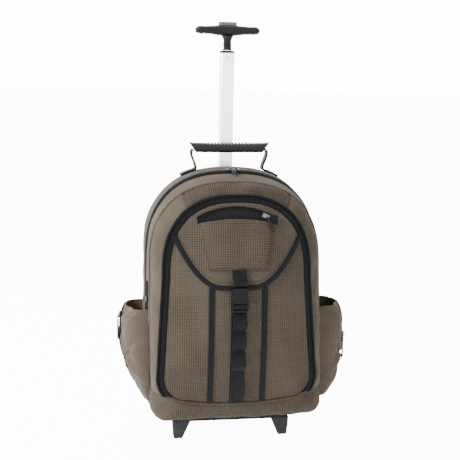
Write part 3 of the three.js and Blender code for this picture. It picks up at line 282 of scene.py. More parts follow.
@dataclass(frozen=True)
class Moulded(Finish):
    """Injection-moulded plastic: fine spark-eroded grain; edges painted lighter as wear and painted
    highlight.
    """

    grain_mm: float = 0.6
    wear_and_highlight: float = 0.35

    def material(self) -> Material:
        """Builds the moulded grain and the lighter edges: wear and a painted highlight."""
        material, tree, shader = self.start()
        place = add_node(tree, "ShaderNodeTexCoord")
        grain = add_node(
            tree, "ShaderNodeTexNoise", {"Scale": 1000 / self.grain_mm, "Detail": 2.0},
            {0: place.outputs["Object"]}
        )
        wear_and_highlight_noise = add_node(tree, "ShaderNodeTexNoise", {"Scale": 60.0, "Detail": 4.0},
                       {0: place.outputs["Object"]})
        edge = add_node(tree, "ShaderNodeNewGeometry")
        # Pointy edges are painted lighter: partly wear, partly a painted highlight along the edges
        raised = add_node(tree, "ShaderNodeMapRange", {1: 0.52, 2: 0.62, 3: 0.0, 4: self.wear_and_highlight},
                          {0: edge.outputs["Pointiness"]})
        edge_wear_and_highlight = add_node(tree, "ShaderNodeMath", links={0: raised.outputs[0], 1: wear_and_highlight_noise.outputs[0]},
                        operation="MULTIPLY")
        slow = add_node(tree, "ShaderNodeMath", {1: 0.25}, {0: wear_and_highlight_noise.outputs[0], 2: edge_wear_and_highlight.outputs[0]},
                        operation="MULTIPLY_ADD")
        tree.links.new(self.blend(tree, slow.outputs[0]).outputs[2], shader.inputs["Base Color"])
        gloss = add_node(
            tree, "ShaderNodeMapRange", {3: self.roughness * 0.85, 4: min(self.roughness * 1.2, 1.0)},
            {0: wear_and_highlight_noise.outputs[0]}
        )
        tree.links.new(gloss.outputs[0], shader.inputs["Roughness"])
        self.relief(tree, shader, grain.outputs[0], 0.05)
        return material


@dataclass(frozen=True)
class Drawn(Finish):
    """Metal drawn or brushed along Z, such as an extruded tube: fine lines along it and small scuffs."""

    lines: float = 900.0
    scuff: float = 0.12

    def material(self) -> Material:
        """Builds streaks stretched along Z that vary the tone and the roughness."""
        material, tree, shader = self.start()
        place = add_node(tree, "ShaderNodeTexCoord")
        long = add_node(tree, "ShaderNodeMapping", {"Scale": (self.lines, self.lines, 6.0)},
                        {0: place.outputs["Object"]})
        streak = add_node(tree, "ShaderNodeTexNoise", {"Scale": 1.0, "Detail": 4.0}, {0: long.outputs[0]})
        tree.links.new(self.blend(tree, streak.outputs[0]).outputs[2], shader.inputs["Base Color"])
        gloss = add_node(
            tree, "ShaderNodeMapRange", {3: self.roughness, 4: self.roughness + self.scuff},
            {0: streak.outputs[0]}
        )
        tree.links.new(gloss.outputs[0], shader.inputs["Roughness"])
        self.relief(tree, shader, streak.outputs[0], 0.01)
        return material


@dataclass(frozen=True)
class Spacer(Finish):
    """Polyester spacer mesh over foam: rows of small round holes with soft rims."""

    hole_mm: float = 3.0

    def material(self) -> Material:
        """Builds staggered holes from cells of a Voronoi pattern."""
        material, tree, shader = self.start()
        place = add_node(tree, "ShaderNodeTexCoord")
        cell = add_node(
            tree, "ShaderNodeTexVoronoi", {"Scale": 1000 / self.hole_mm, "Randomness": 0.25},
            {0: place.outputs["Object"]}
        )
        hole = add_node(tree, "ShaderNodeMapRange", {1: 0.15, 2: 0.5, 3: 1.0, 4: 0.0},
                        {0: cell.outputs["Distance"]})
        tree.links.new(self.blend(tree, hole.outputs[0]).outputs[2], shader.inputs["Base Color"])
        sunk = add_node(tree, "ShaderNodeMath", {0: 1.0}, {1: hole.outputs[0]}, operation="SUBTRACT")
        self.relief(tree, shader, sunk.outputs[0], 0.8)
        return material


class Cloth(Enum):
    """The finishes of the part, each with the record's slot that it belongs to."""

    BAG = (Woven("woven_polyester_taupe", "#75695b", "#2b2621", 0.92, sheen=0.12), "bag_fabric")
    DOBBY = (Woven("dobby_polyester_taupe", "#62574b", "#1d1815", 0.92, sheen=0.1, contrast=0.95),
             "bag_fabric")
    POCKET = (Woven("woven_polyester_pocket", "#8b7e70", "#362f29", 0.92, sheen=0.12), "pocket_fabric")
    SLOT = (Woven("woven_polyester_slot_pocket", "#736659", "#2a2520", 0.92, sheen=0.12), "pocket_fabric")
    LINING = (Woven("taffeta_lining_black", "#1c1917", "#0c0a09", 0.8, depth_mm=0.1), "pocket_fabric")
    WEBBING = (Webbing("polypropylene_webbing_black", "#050506", "#1d1e21", 0.48, sheen=0.05), "webbing")
    BINDING = (Webbing("polyester_grosgrain_black", "#070809", "#202225", 0.62, sheen=0.05, rib_mm=1.8),
               "webbing")
    ZIP_TAPE = (Webbing("woven_zip_tape_black", "#050506", "#16171a", 0.7, sheen=0.04, rib_mm=1.6),
                "zip_tape")
    COIL = (Moulded("nylon_zip_coil", "#131416", "#36393d", 0.3), "zip_tape")
    THREAD = (Moulded("bonded_nylon_thread", "#17130f", "#33291f", 0.6), "bag_fabric")
    BLACK_THREAD = (Moulded("bonded_nylon_thread_black", "#18191b", "#37383b", 0.5), "webbing")
    MESH = (Spacer("spacer_mesh_black", "#1f2023", "#070708", 0.85, sheen=0.1), "spacer_mesh")
    NICKEL = (Drawn("nickel_plated_zinc", "#64666a", "#34373a", 0.34, metallic=1.0), "zip_metal")
    ACETAL = (Moulded("moulded_acetal_black", "#08090a", "#26272a", 0.3), "buckle_plastic")
    GRIP = (Moulded("moulded_rubber_grey", "#26282b", "#505357", 0.42), "grip_plastic")
    HANDLE = (Moulded("moulded_nylon_black", "#1a1b1d", "#43454a", 0.34), "handle_plastic")
    BUTTON = (Moulded("moulded_abs_grey", "#74777b", "#9b9ea2", 0.2, coat=0.3), "button_plastic")
    TUBE = (Drawn("anodised_aluminium", "#f9fafb", "#e2e5e9", 0.3, metallic=1.0), "tube_aluminium")
    BASE = (Moulded("moulded_polypropylene_black", "#0c0d0f", "#2b2d30", 0.45), "base_plastic")
    # The feet's edges are painted much lighter: wear together with a painted highlight
    FOOT = (Moulded("moulded_polypropylene_grey", "#303235", "#77797d", 0.42, wear_and_highlight=0.8), "foot_plastic")
    STEEL = (Drawn("zinc_plated_steel", "#c2c5c8", "#94979b", 0.3, metallic=1.0), "axle_steel")
    RUBBER = (Moulded("solid_tyre_rubber", "#1a1a1b", "#38383a", 0.8, wear_and_highlight=0.5), "tyre_rubber")

    @property
    def finish(self) -> Finish:
        """The finish itself."""
        return self.value[0]

    @property
    def slot(self) -> str:
        """The record's material slot."""
        return self.value[1]


# Curves and grids as whole arrays


def unit(vectors: Array) -> Array:
    """Vectors scaled to length 1."""
    return vectors / np.maximum(np.linalg.norm(vectors, axis=-1, keepdims=True), 1e-9)


def smooth_step(value: Array, low: float, high: float) -> Array:
    """0 below low, 1 above high and 3 t^2 - 2 t^3 between them."""
    t = np.clip((value - low) / (high - low), 0, 1)
    return t * t * (3 - 2 * t)


def curve_through(knots: Array, values: Array, at: Array) -> Array:
    """Cubic through a table's values: each stretch joins its two ends with their mean slopes (Hermite form).

    Args:
        knots: rising positions.
        values: one value or point at each position.
        at: where to read it.

    Returns:
        The curve's values there.
    """
    knots, values, at = np.asarray(knots, float), np.asarray(values, float), np.asarray(at, float)
    slopes = np.gradient(values, knots, axis=0)
    i = np.clip(np.searchsorted(knots, at, side="right") - 1, 0, len(knots) - 2)
    step = knots[i + 1] - knots[i]
    t = np.clip((at - knots[i]) / step, 0, 1)
    if values.ndim > 1:
        t, step = t[..., None], step[..., None]
    return (
        (2 * t**3 - 3 * t**2 + 1) * values[i]
        + (t**3 - 2 * t**2 + t) * step * slopes[i]
        + (3 * t**2 - 2 * t**3) * values[i + 1]
        + (t**3 - t**2) * step * slopes[i + 1]
    )


def lengths(points: Array) -> Array:
    """Distance along a line of points, from 0."""
    return np.concatenate([[0.0], np.cumsum(np.linalg.norm(np.diff(points, axis=0), axis=1))])


def smooth_path(points: list | Array, count: int) -> Array:
    """A smooth curve through points, in count steps of even length along them."""
    points = np.asarray(points, float)
    along = lengths(points)
    fine = curve_through(along, points, np.linspace(0, along[-1], 400))
    run = lengths(fine)
    even = np.linspace(0, run[-1], count)
    return np.stack([np.interp(even, run, fine[:, i]) for i in range(fine.shape[1])], axis=1)


def ripples(a: Array, b: Array, seed: int, size: float, waves: int = 8) -> Array:
    """Soft unevenness of about -1 to 1: a sum of sine waves of about one size that run in seeded directions.

    Args:
        a, b: two coordinates in millimetres.
        seed: which waves.
        size: usual distance between crests.
        waves: how many are added.

    Returns:
        The unevenness at each point.
    """
    rng = np.random.default_rng(seed)
    angle, phase, stretch = rng.uniform(0, math.pi, waves), rng.uniform(0, 2 * math.pi,
        waves), rng.uniform(0.7, 1.7, waves)
    turn = 2 * math.pi / (size * stretch)
    a, b = np.asarray(a, float)[..., None], np.asarray(b, float)[..., None]
    return np.sin((a * np.cos(angle) + b * np.sin(angle)) * turn + phase).sum(-1) / (1.4 * math.sqrt(waves))


def grid_normals(points: Array, wrap: bool = False) -> Array:
    """Unit normals of a grid of points: the cross product of its steps along a row and down a column."""
    if wrap:
        across = np.roll(points, -1, axis=1) - np.roll(points, 1, axis=1)
    else:
        across = np.gradient(points, axis=1)
    return unit(np.cross(across, np.gradient(points, axis=0)))


@dataclass
class Skin:
    """A closed skin: its points, its quads, and each quad's corners on the flat cloth, in metres."""

    points: Array
    quads: Array
    flat: Array

    def outward(self) -> "Skin":
        """The skin with its faces out: its signed volume is made positive."""
        a, b, c, d = (self.points[self.quads[:, i]] for i in range(4))
        volume = (np.cross(b, c) * a).sum() + (np.cross(c, d) * a).sum()
        if volume < 0:
            return Skin(self.points, self.quads[:, ::-1], self.flat[:, ::-1])
        return self


def grid_quads(rows: int, columns: int, wrap: bool) -> Array:
    """Corner numbers of a grid's quads; with wrap the last column joins the first."""
    r = np.arange(rows - 1)[:, None]
    c = np.arange(columns if wrap else columns - 1)[None, :]
    n = (c + 1) % columns
    corners = np.broadcast_arrays(r * columns + c, r * columns + n, (r + 1) * columns + n,
                                  (r + 1) * columns + c)
    return np.stack(corners, axis=-1).reshape(-1, 4)


def flat_corners(points: Array, wrap: bool) -> Array:
    """Where each quad's corners lie on the flat cloth: lengths along the rows from their middles, and down
    the columns, in metres."""
    closed = np.concatenate([points, points[:, :1]], axis=1) if wrap else points
    rows, columns = closed.shape[:2]
    along = np.cumsum(np.linalg.norm(np.diff(closed, axis=1, prepend=closed[:, :1]), axis=2), axis=1)
    along -= along[:, columns // 2 : columns // 2 + 1]
    down = np.cumsum(np.linalg.norm(np.diff(closed, axis=0, prepend=closed[:1]), axis=2), axis=0)
    grid = np.stack([along, down], axis=-1).reshape(-1, 2) / 1000
    return grid[grid_quads(rows, columns, False)]


def sheet_skin(outer: Array, inner: Array, wrap: bool = False, pole: bool = False) -> Skin:
    """Closes two grids, a cloth's face and its back, with strips along their edges.

    Args:
        outer, inner: grids of points of the same shape.
        wrap: whether the last column joins the first.
        pole: whether the last row is one point.

    Returns:
        The closed skin.
    """
    rows, columns = outer.shape[:2]
    count = rows * columns
    quads, flat = grid_quads(rows, columns, wrap), flat_corners(outer, wrap)
    index = np.arange(count).reshape(rows, columns)
    edges = []
    top = np.append(index[0], index[0, 0]) if wrap else index[0]
    edges.append(top)
    if not pole:
        edges.append((np.append(index[-1], index[-1, 0]) if wrap else index[-1])[::-1])
    if not wrap:
        edges += [index[::-1, 0], index[:, -1]]
    rims = np.concatenate([np.stack([e[1:], e[:-1], e[:-1] + count, e[1:] + count], -1) for e in edges])
    points = np.concatenate([outer.reshape(-1, 3), inner.reshape(-1, 3)])
    rim_flat = points[rims][..., [0, 2]] / 1000
    return Skin(points, np.concatenate([quads, quads[:, ::-1] + count, rims]),
                np.concatenate([flat, flat[:, ::-1], rim_flat])).outward()


def bar_skin(rings: Array, loop: bool = False) -> Skin:
    """Closes rings of points into a bar; its ends run to their middles, or with loop the last ring joins the
    first.

    Args:
        rings: the rings along the bar, each with the same number of points.
        loop: whether the bar closes on itself.

    Returns:
        The closed skin.
    """
    if loop:
        grid = np.concatenate([rings, rings[:1]])
        quads = grid_quads(*grid.shape[:2], True) % (rings.shape[0] * rings.shape[1])
        return Skin(rings.reshape(-1, 3), quads, flat_corners(grid, True)).outward()
    first, last = (np.broadcast_to(r.mean(0), r.shape)[None] for r in (rings[0], rings[-1]))
    grid = np.concatenate([first, rings, last])
    return Skin(grid.reshape(-1, 3), grid_quads(*grid.shape[:2], True), flat_corners(grid, True)).outward()


def joined(skins: list[Skin]) -> Skin:
    """Several skins as one."""
    offsets = np.cumsum([0] + [len(s.points) for s in skins[:-1]])
    return Skin(
        np.concatenate([s.points for s in skins]),
        np.concatenate([s.quads + o for s, o in zip(skins, offsets)]),
        np.concatenate([s.flat for s in skins]),
    )


def rounded_section(width: float, thickness: float, count: int = 24, square: float = 4.0) -> Array:
    """A flat oval: (cos t, sin t) with each raised to 2 / square, so that a higher square is more
    rectangular."""
    t = np.linspace(0, 2 * math.pi, count, endpoint=False) + math.pi / count
    c, s = np.cos(t), np.sin(t)
    oval = np.stack([np.sign(c) * np.abs(c) ** (2 / square), np.sign(s) * np.abs(s) ** (2 / square)], axis=1)
    return oval * [width / 2, thickness / 2]


def carried(path: Array, section: Array, side: Array | tuple = (1.0, 0.0, 0.0)) -> Array:
    """A section carried along a path: its first axis along side and its second square to side and the run.

    Args:
        path: points along the middle.
        section: points of the section, or one section for each path point.
        side: direction of its width, the same all along or one for each point.

    Returns:
        The rings of points.
    """
    run = unit(np.gradient(path, axis=0))
    across = np.broadcast_to(unit(np.asarray(side, float)), run.shape)
    across = unit(across - (across * run).sum(-1, keepdims=True) * run)
    normal = np.cross(run, across)
    section = np.broadcast_to(section, (len(path), *section.shape[-2:]))
    return path[:, None] + section[..., :1] * across[:, None] + section[..., 1:] * normal[:, None]


def grains(path: Array, spacing: float, size: tuple[float, float, float], up: Array | tuple) -> Skin:
    """Small rounded grains along a path, for stitches and zip teeth.

    Args:
        path: the line that they follow.
        spacing: from one to the next.
        size: length along the path, width and height of each.
        up: which way their height points, the same all along or one for each path point.

    Returns:
        All the grains as one skin.
    """
    run = lengths(path)
    count = max(int(run[-1] / spacing), 1)
    at = (np.arange(count) + 0.5) * run[-1] / count
    read = lambda values: np.stack([np.interp(at, run, values[:, i]) for i in range(3)], axis=1)  # noqa: E731
    middle, along = read(path), unit(read(np.gradient(path, axis=0)))
    rise = unit(read(np.broadcast_to(np.asarray(up, float), path.shape)))
    across = unit(np.cross(along, rise))
    rise = np.cross(across, along)
    theta = np.linspace(0, math.pi, 5)[:, None]
    phi = np.linspace(0, 2 * math.pi, 6, endpoint=False)[None]
    ball = np.stack([np.cos(theta) + 0 * phi, np.sin(theta) * np.cos(phi), np.sin(theta) * np.sin(phi)], -1)
    ball = ball.reshape(-1, 3) * np.array(size) / 2
    axes = np.stack([along, across, rise], axis=1)
    points = middle[:, None] + ball @ axes
    quads = grid_quads(5, 6, True)
    every = (quads[None] + (np.arange(count) * len(ball))[:, None, None]).reshape(-1, 4)
    skin = Skin(points.reshape(-1, 3), every, np.zeros((len(every), 4, 2)))
    return skin.outward()


def turned_rings(profile: Array, centre: tuple[float, float, float], axis: str, count: int = 64) -> Array:
    """A profile of (distance along the axis, radius) turned about an axis through a centre."""
    t = np.linspace(0, 2 * math.pi, count, endpoint=False)[None]
    along, radius = profile[:, 0][:, None], profile[:, 1][:, None]
    c, s = radius * np.cos(t), radius * np.sin(t)
    flat = along + 0 * t
    parts = (flat, c, s) if axis == "x" else (c, s, flat)
    return np.stack(parts, axis=-1) + np.array(centre)


# Front-view outlines


def lean_at(z: Array) -> Array:
    """How far the filled bag leans to its right at a height: most at its bottom, fading by a power."""
    share = np.clip((np.asarray(z, float) - 47) / 472, 0, 1)
    return 12 * (1 - share) ** 1.6 - 1


def settle(points: Array) -> Array:
    """The filled cloth hangs a little lower at the bag's left front corner."""
    x, y, z = points[..., 0], points[..., 1], points[..., 2]
    drop = 5.5 * smooth_step(-x, 30, 150) * np.exp(-((np.maximum(z - 47, 0) / 42) ** 2)) * smooth_step(-y,
        -30, 30)
    return np.stack([x, y, z - drop], axis=-1)


@dataclass(frozen=True)
class Outline:
    """A front-view outline: a bottom, round lower corners, flared sides and a superellipse arch."""

    half: float
    top: float
    bottom: float
    spring: float
    corner: float
    flare: float = 0.0
    rise: float = 0.0
    lean: float = 0.0
    exponent: float = 2.5

    def shrunk(self, by: float) -> "Outline":
        """The outline moved inwards."""
        return replace(
            self, half=self.half - by, top=self.top - by, bottom=self.bottom + by,
            corner=max(self.corner - by, 2)
        )

    def right_half(self) -> Array:
        """The right half from the bottom middle to the top middle, before it leans."""
        s = np.linspace(0, 1, 120, endpoint=False)
        end = np.append(s, 1.0)
        foot, shoulder = self.half + self.flare, self.bottom + self.rise + self.corner
        quarter = s * math.pi / 2
        arch = end * math.pi / 2
        power = 2 / self.exponent
        parts = [
            (s * (foot - self.corner), self.bottom + self.rise * s**2),
            (foot - self.corner * (1 - np.sin(quarter)), shoulder - self.corner * np.cos(quarter)),
            (foot - self.flare * s, shoulder + (self.spring - shoulder) * s),
            (
                self.half * np.abs(np.cos(arch)) ** power,
                self.spring + (self.top - self.spring) * np.abs(np.sin(arch)) ** power,
            ),
        ]
        return np.concatenate([np.stack(p, axis=1) for p in parts])

    def around(self, mark: float, low: int, high: int) -> Array:
        """Points of the whole outline, right side first, from the bottom middle round and back.

        Args:
            mark: the height that splits each side in two.
            low, high: steps below and above it.

        Returns:
            2 (low + high) points of x and z.
        """
        line = self.right_half()
        run = lengths(line)
        split = np.interp(mark, line[:, 1], run)
        at = np.concatenate([np.linspace(0, split, low, endpoint=False),
                             np.linspace(split, run[-1], high + 1)])
        right = np.stack([np.interp(at, run, line[:, 0]), np.interp(at, run, line[:, 1])], axis=1)
        left = right[1:-1][::-1] * [-1, 1]
        whole = np.concatenate([right, left])
        whole[:, 0] += lean_at(whole[:, 1]) * self.lean
        return whole


# The workshop: turns skins into dressed pieces on the frame


@dataclass
class Workshop:
    """Makes pieces: meshes in the row frame, with their finish, body and the CAD nodes they stand for."""

    shift: Array
    nodes: dict[str, Object]
    materials: dict[Cloth, Material] = field(default_factory=dict)

    @classmethod
    def on_frame(cls, frame: dict) -> "Workshop":
        """Finds where the part's own frame lies in the row frame, from the trolley tube's middle."""
        low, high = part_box("inner_tube")
        middle = (low + high) / 2
        return cls(np.array([middle.x * 1000, middle.y * 1000 - Trolley.y, 0.0]), frame["nodes"])

    def place(self, points: Array) -> Array:
        """Points in metres in the row frame."""
        return (np.asarray(points, float) + self.shift) / 1000

    def material(self, cloth: Cloth) -> Material:
        """The material of a finish, made once."""
        if cloth not in self.materials:
            self.materials[cloth] = cloth.finish.material()
        return self.materials[cloth]

    def dress(self, piece: Object, cloth: Cloth, body: Body, stands_for: tuple[str, ...] = ()) -> Object:
        """Gives a piece its material and body, and hides the CAD nodes that it stands for."""
        piece.data.materials.clear()
        piece.data.materials.append(self.material(cloth))
        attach(piece, body.value)
        if stands_for:
            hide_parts(*stands_for)
        log.info("piece %s: %d faces", piece.name, len(piece.data.polygons))
        return piece

    def finish_mesh(self, name: str, mesh: bpy.types.Mesh, sharp: float) -> Object:
        """Welds a mesh's seams and poles, shades it smooth up to an angle and makes its object."""
        work = bmesh.new()
        work.from_mesh(mesh)
        bmesh.ops.remove_doubles(work, verts=work.verts, dist=1e-6)
        bmesh.ops.dissolve_degenerate(work, dist=1e-7, edges=work.edges)
        work.to_mesh(mesh)
        work.free()
        mesh.shade_smooth()
        mesh.set_sharp_from_angle(angle=math.radians(sharp))
        piece = bpy.data.objects.new(name, mesh)
        bpy.context.scene.collection.objects.link(piece)
        return piece

    def piece(
        self, name: str, skin: Skin, cloth: Cloth, body: Body = Body.BAG, stands_for: tuple[str, ...] = (),
        sharp: float = 45, soft: bool = False,
    ) -> Object:
        """Makes a dressed piece of a skin.

        Args:
            name: the piece's name.
            skin: its points and faces.
            cloth: its finish.
            body: what it rides on.
            stands_for: the CAD nodes that it replaces.
            sharp: edges above this angle stay sharp.
            soft: whether it settles with the filled cloth.

        Returns:
            The piece.
        """
        points = self.place(settle(skin.points) if soft else skin.points)
        mesh = bpy.data.meshes.new(name)
        mesh.vertices.add(len(points))
        mesh.vertices.foreach_set("co", points.astype(np.float32).ravel())
        mesh.loops.add(skin.quads.size)
        mesh.loops.foreach_set("vertex_index", skin.quads.astype(np.int32).ravel())
        mesh.polygons.add(len(skin.quads))
        mesh.polygons.foreach_set("loop_start", np.arange(0, skin.quads.size, 4, dtype=np.int32))
        mesh.update(calc_edges=True)
        layer = mesh.uv_layers.new(name="UVMap")
        layer.data.foreach_set("uv", skin.flat.astype(np.float32).ravel())
        mesh.validate()
        return self.dress(self.finish_mesh(name, mesh, sharp), cloth, body, stands_for)

    def plate(
        self, name: str, outlines: list[Array], thickness: float, origin: tuple, right: tuple, up: tuple,
        cloth: Cloth, body: Body = Body.BAG, stands_for: tuple[str, ...] = (), bevel: float = 0.6,
    ) -> Object:
        """Makes a flat plate with holes and rounded edges from outlines.

        Args:
            name: the piece's name.
            outlines: the outer outline first, then its holes, each as points across and up.
            thickness: its thickness.
            origin: where the outlines' zero lies, at mid thickness.
            right, up: directions of the outlines' two axes.
            cloth: its finish.
            body: what it rides on.
            stands_for: the CAD nodes that it replaces.
            bevel: radius of its edges.

        Returns:
            The piece.
        """
        curve = bpy.data.curves.new(name, "CURVE")
        curve.dimensions, curve.fill_mode = "2D", "BOTH"
        curve.extrude, curve.bevel_depth, curve.bevel_resolution = thickness / 2 - bevel, bevel, 1
        curve.offset = -bevel
        for line in outlines:
            spline = curve.splines.new("POLY")
            spline.points.add(len(line) - 1)
            spline.points.foreach_set("co", np.c_[line, np.zeros(len(line)), np.ones(len(line))].ravel())
            spline.use_cyclic_u = True
        pattern = bpy.data.objects.new(name + "_pattern", curve)
        bpy.context.scene.collection.objects.link(pattern)
        bpy.context.view_layer.update()
        mesh = bpy.data.meshes.new_from_object(pattern.evaluated_get(bpy.context.evaluated_depsgraph_get()))
        bpy.data.objects.remove(pattern)
        axes = np.stack([unit(np.array(right, float)), unit(np.array(up, float))])
        axes = np.concatenate([axes, np.cross(axes[0], axes[1])[None]])
        flat = np.zeros(len(mesh.vertices) * 3)
        mesh.vertices.foreach_get("co", flat)
        points = flat.reshape(-1, 3) @ axes + np.array(origin, float)
        mesh.vertices.foreach_set("co", self.place(points).astype(np.float32).ravel())
        mesh.name = name
        return self.dress(self.finish_mesh(name, mesh, 40), cloth, body, stands_for)

    def bevelled_node(self, name: str, node: str, cloth: Cloth, body: Body, radius: float) -> Object:
        """Makes a piece of a copy of a CAD node with its edges rounded."""
        mesh = self.nodes[node].data.copy()
        mesh.name = name
        work = bmesh.new()
        work.from_mesh(mesh)
        bmesh.ops.remove_doubles(work, verts=work.verts, dist=1e-6)
        bmesh.ops.dissolve_limit(work, angle_limit=math.radians(2), verts=work.verts, edges=work.edges)
        work.to_mesh(mesh)
        work.free()
        piece = self.finish_mesh(name, mesh, 40)
        bevel = piece.modifiers.new("rounded", "BEVEL")
        bevel.width, bevel.segments, bevel.limit_method = radius / 1000, 3, "ANGLE"
        bevel.angle_limit, bevel.harden_normals = math.radians(30), False
        return self.dress(piece, cloth, body, (node,))

    def keep(self, node: str, cloth: Cloth) -> None:
        """Gives a CAD node whose shape is right its finish."""
        self.nodes[node].data.materials.clear()
        self.nodes[node].data.materials.append(self.material(cloth))
        log.info("node %s keeps its shape", node)

    def cut_out(self, piece: Object, tool: Skin) -> None:
        """Cuts a skin's space out of a piece."""
        mesh = bpy.data.meshes.new("cutter")
        mesh.from_pydata(self.place(tool.points).tolist(), [], tool.quads.tolist())
        cutter = self.finish_mesh("cutter", mesh, 30)
        change = piece.modifiers.new("cut", "BOOLEAN")
        change.operation, change.object, change.solver = "DIFFERENCE", cutter, "EXACT"
        bpy.context.view_layer.update()
        evaluated = piece.evaluated_get(bpy.context.evaluated_depsgraph_get())
        cut = bpy.data.meshes.new_from_object(evaluated)
        piece.modifiers.remove(change)
        old, piece.data = piece.data, cut
        bpy.data.meshes.remove(old)
        bpy.data.objects.remove(cutter)
        cut.name = piece.name
        cut.shade_smooth()
        cut.set_sharp_from_angle(angle=math.radians(40))


@dataclass(frozen=True)
class Stuffing:
    """How a pad is swelled: a cloth simulation under pressure, with no gravity."""

    voxel_mm: float = 5.0
    pressure: float = 4.0
    cap_mm: float = 6.0
    frames: int = 20

    def remesh(self, piece: Object) -> None:
        """Turns a piece's mesh into even small faces."""
        change = piece.modifiers.new("even", "REMESH")
        change.mode, change.voxel_size = "VOXEL", self.voxel_mm / 1000
        bpy.context.view_layer.update()
        made = bpy.data.meshes.new_from_object(piece.evaluated_get(bpy.context.evaluated_depsgraph_get()))
        piece.modifiers.remove(change)
        made.name = piece.data.name
        for material in piece.data.materials:
            if material.name not in made.materials:
                made.materials.append(material)
        piece.data = made

    def swell(self, piece: Object) -> None:
        """Swells a piece, caps how far each point moves, and keeps the result as its mesh."""
        self.remesh(piece)
        count = len(piece.data.vertices)
        start = np.zeros(count * 3, np.float32)
        piece.data.vertices.foreach_get("co", start)
        scene = bpy.context.scene
        cloth = piece.modifiers.new("swell", "CLOTH")
        cloth.settings.use_pressure = True
        cloth.settings.uniform_pressure_force = self.pressure
        cloth.settings.effector_weights.gravity = 0
        cloth.settings.quality = 5
        cloth.point_cache.frame_start, cloth.point_cache.frame_end = 1, self.frames
        for number in range(1, self.frames + 1):
            scene.frame_set(number)
        moved = np.zeros(count * 3, np.float32)
        evaluated = piece.evaluated_get(bpy.context.evaluated_depsgraph_get())
        evaluated.data.vertices.foreach_get("co", moved)
        piece.modifiers.remove(cloth)
        scene.frame_set(1)
        step = (moved - start).reshape(-1, 3)
        size = np.linalg.norm(step, axis=1, keepdims=True)
        cap = self.cap_mm / 1000
        step *= np.minimum(1, cap / np.maximum(size, 1e-9))
        piece.data.vertices.foreach_set("co", (start.reshape(-1, 3) + step).ravel())
        piece.data.update()
        piece.data.shade_smooth()


# The main compartment


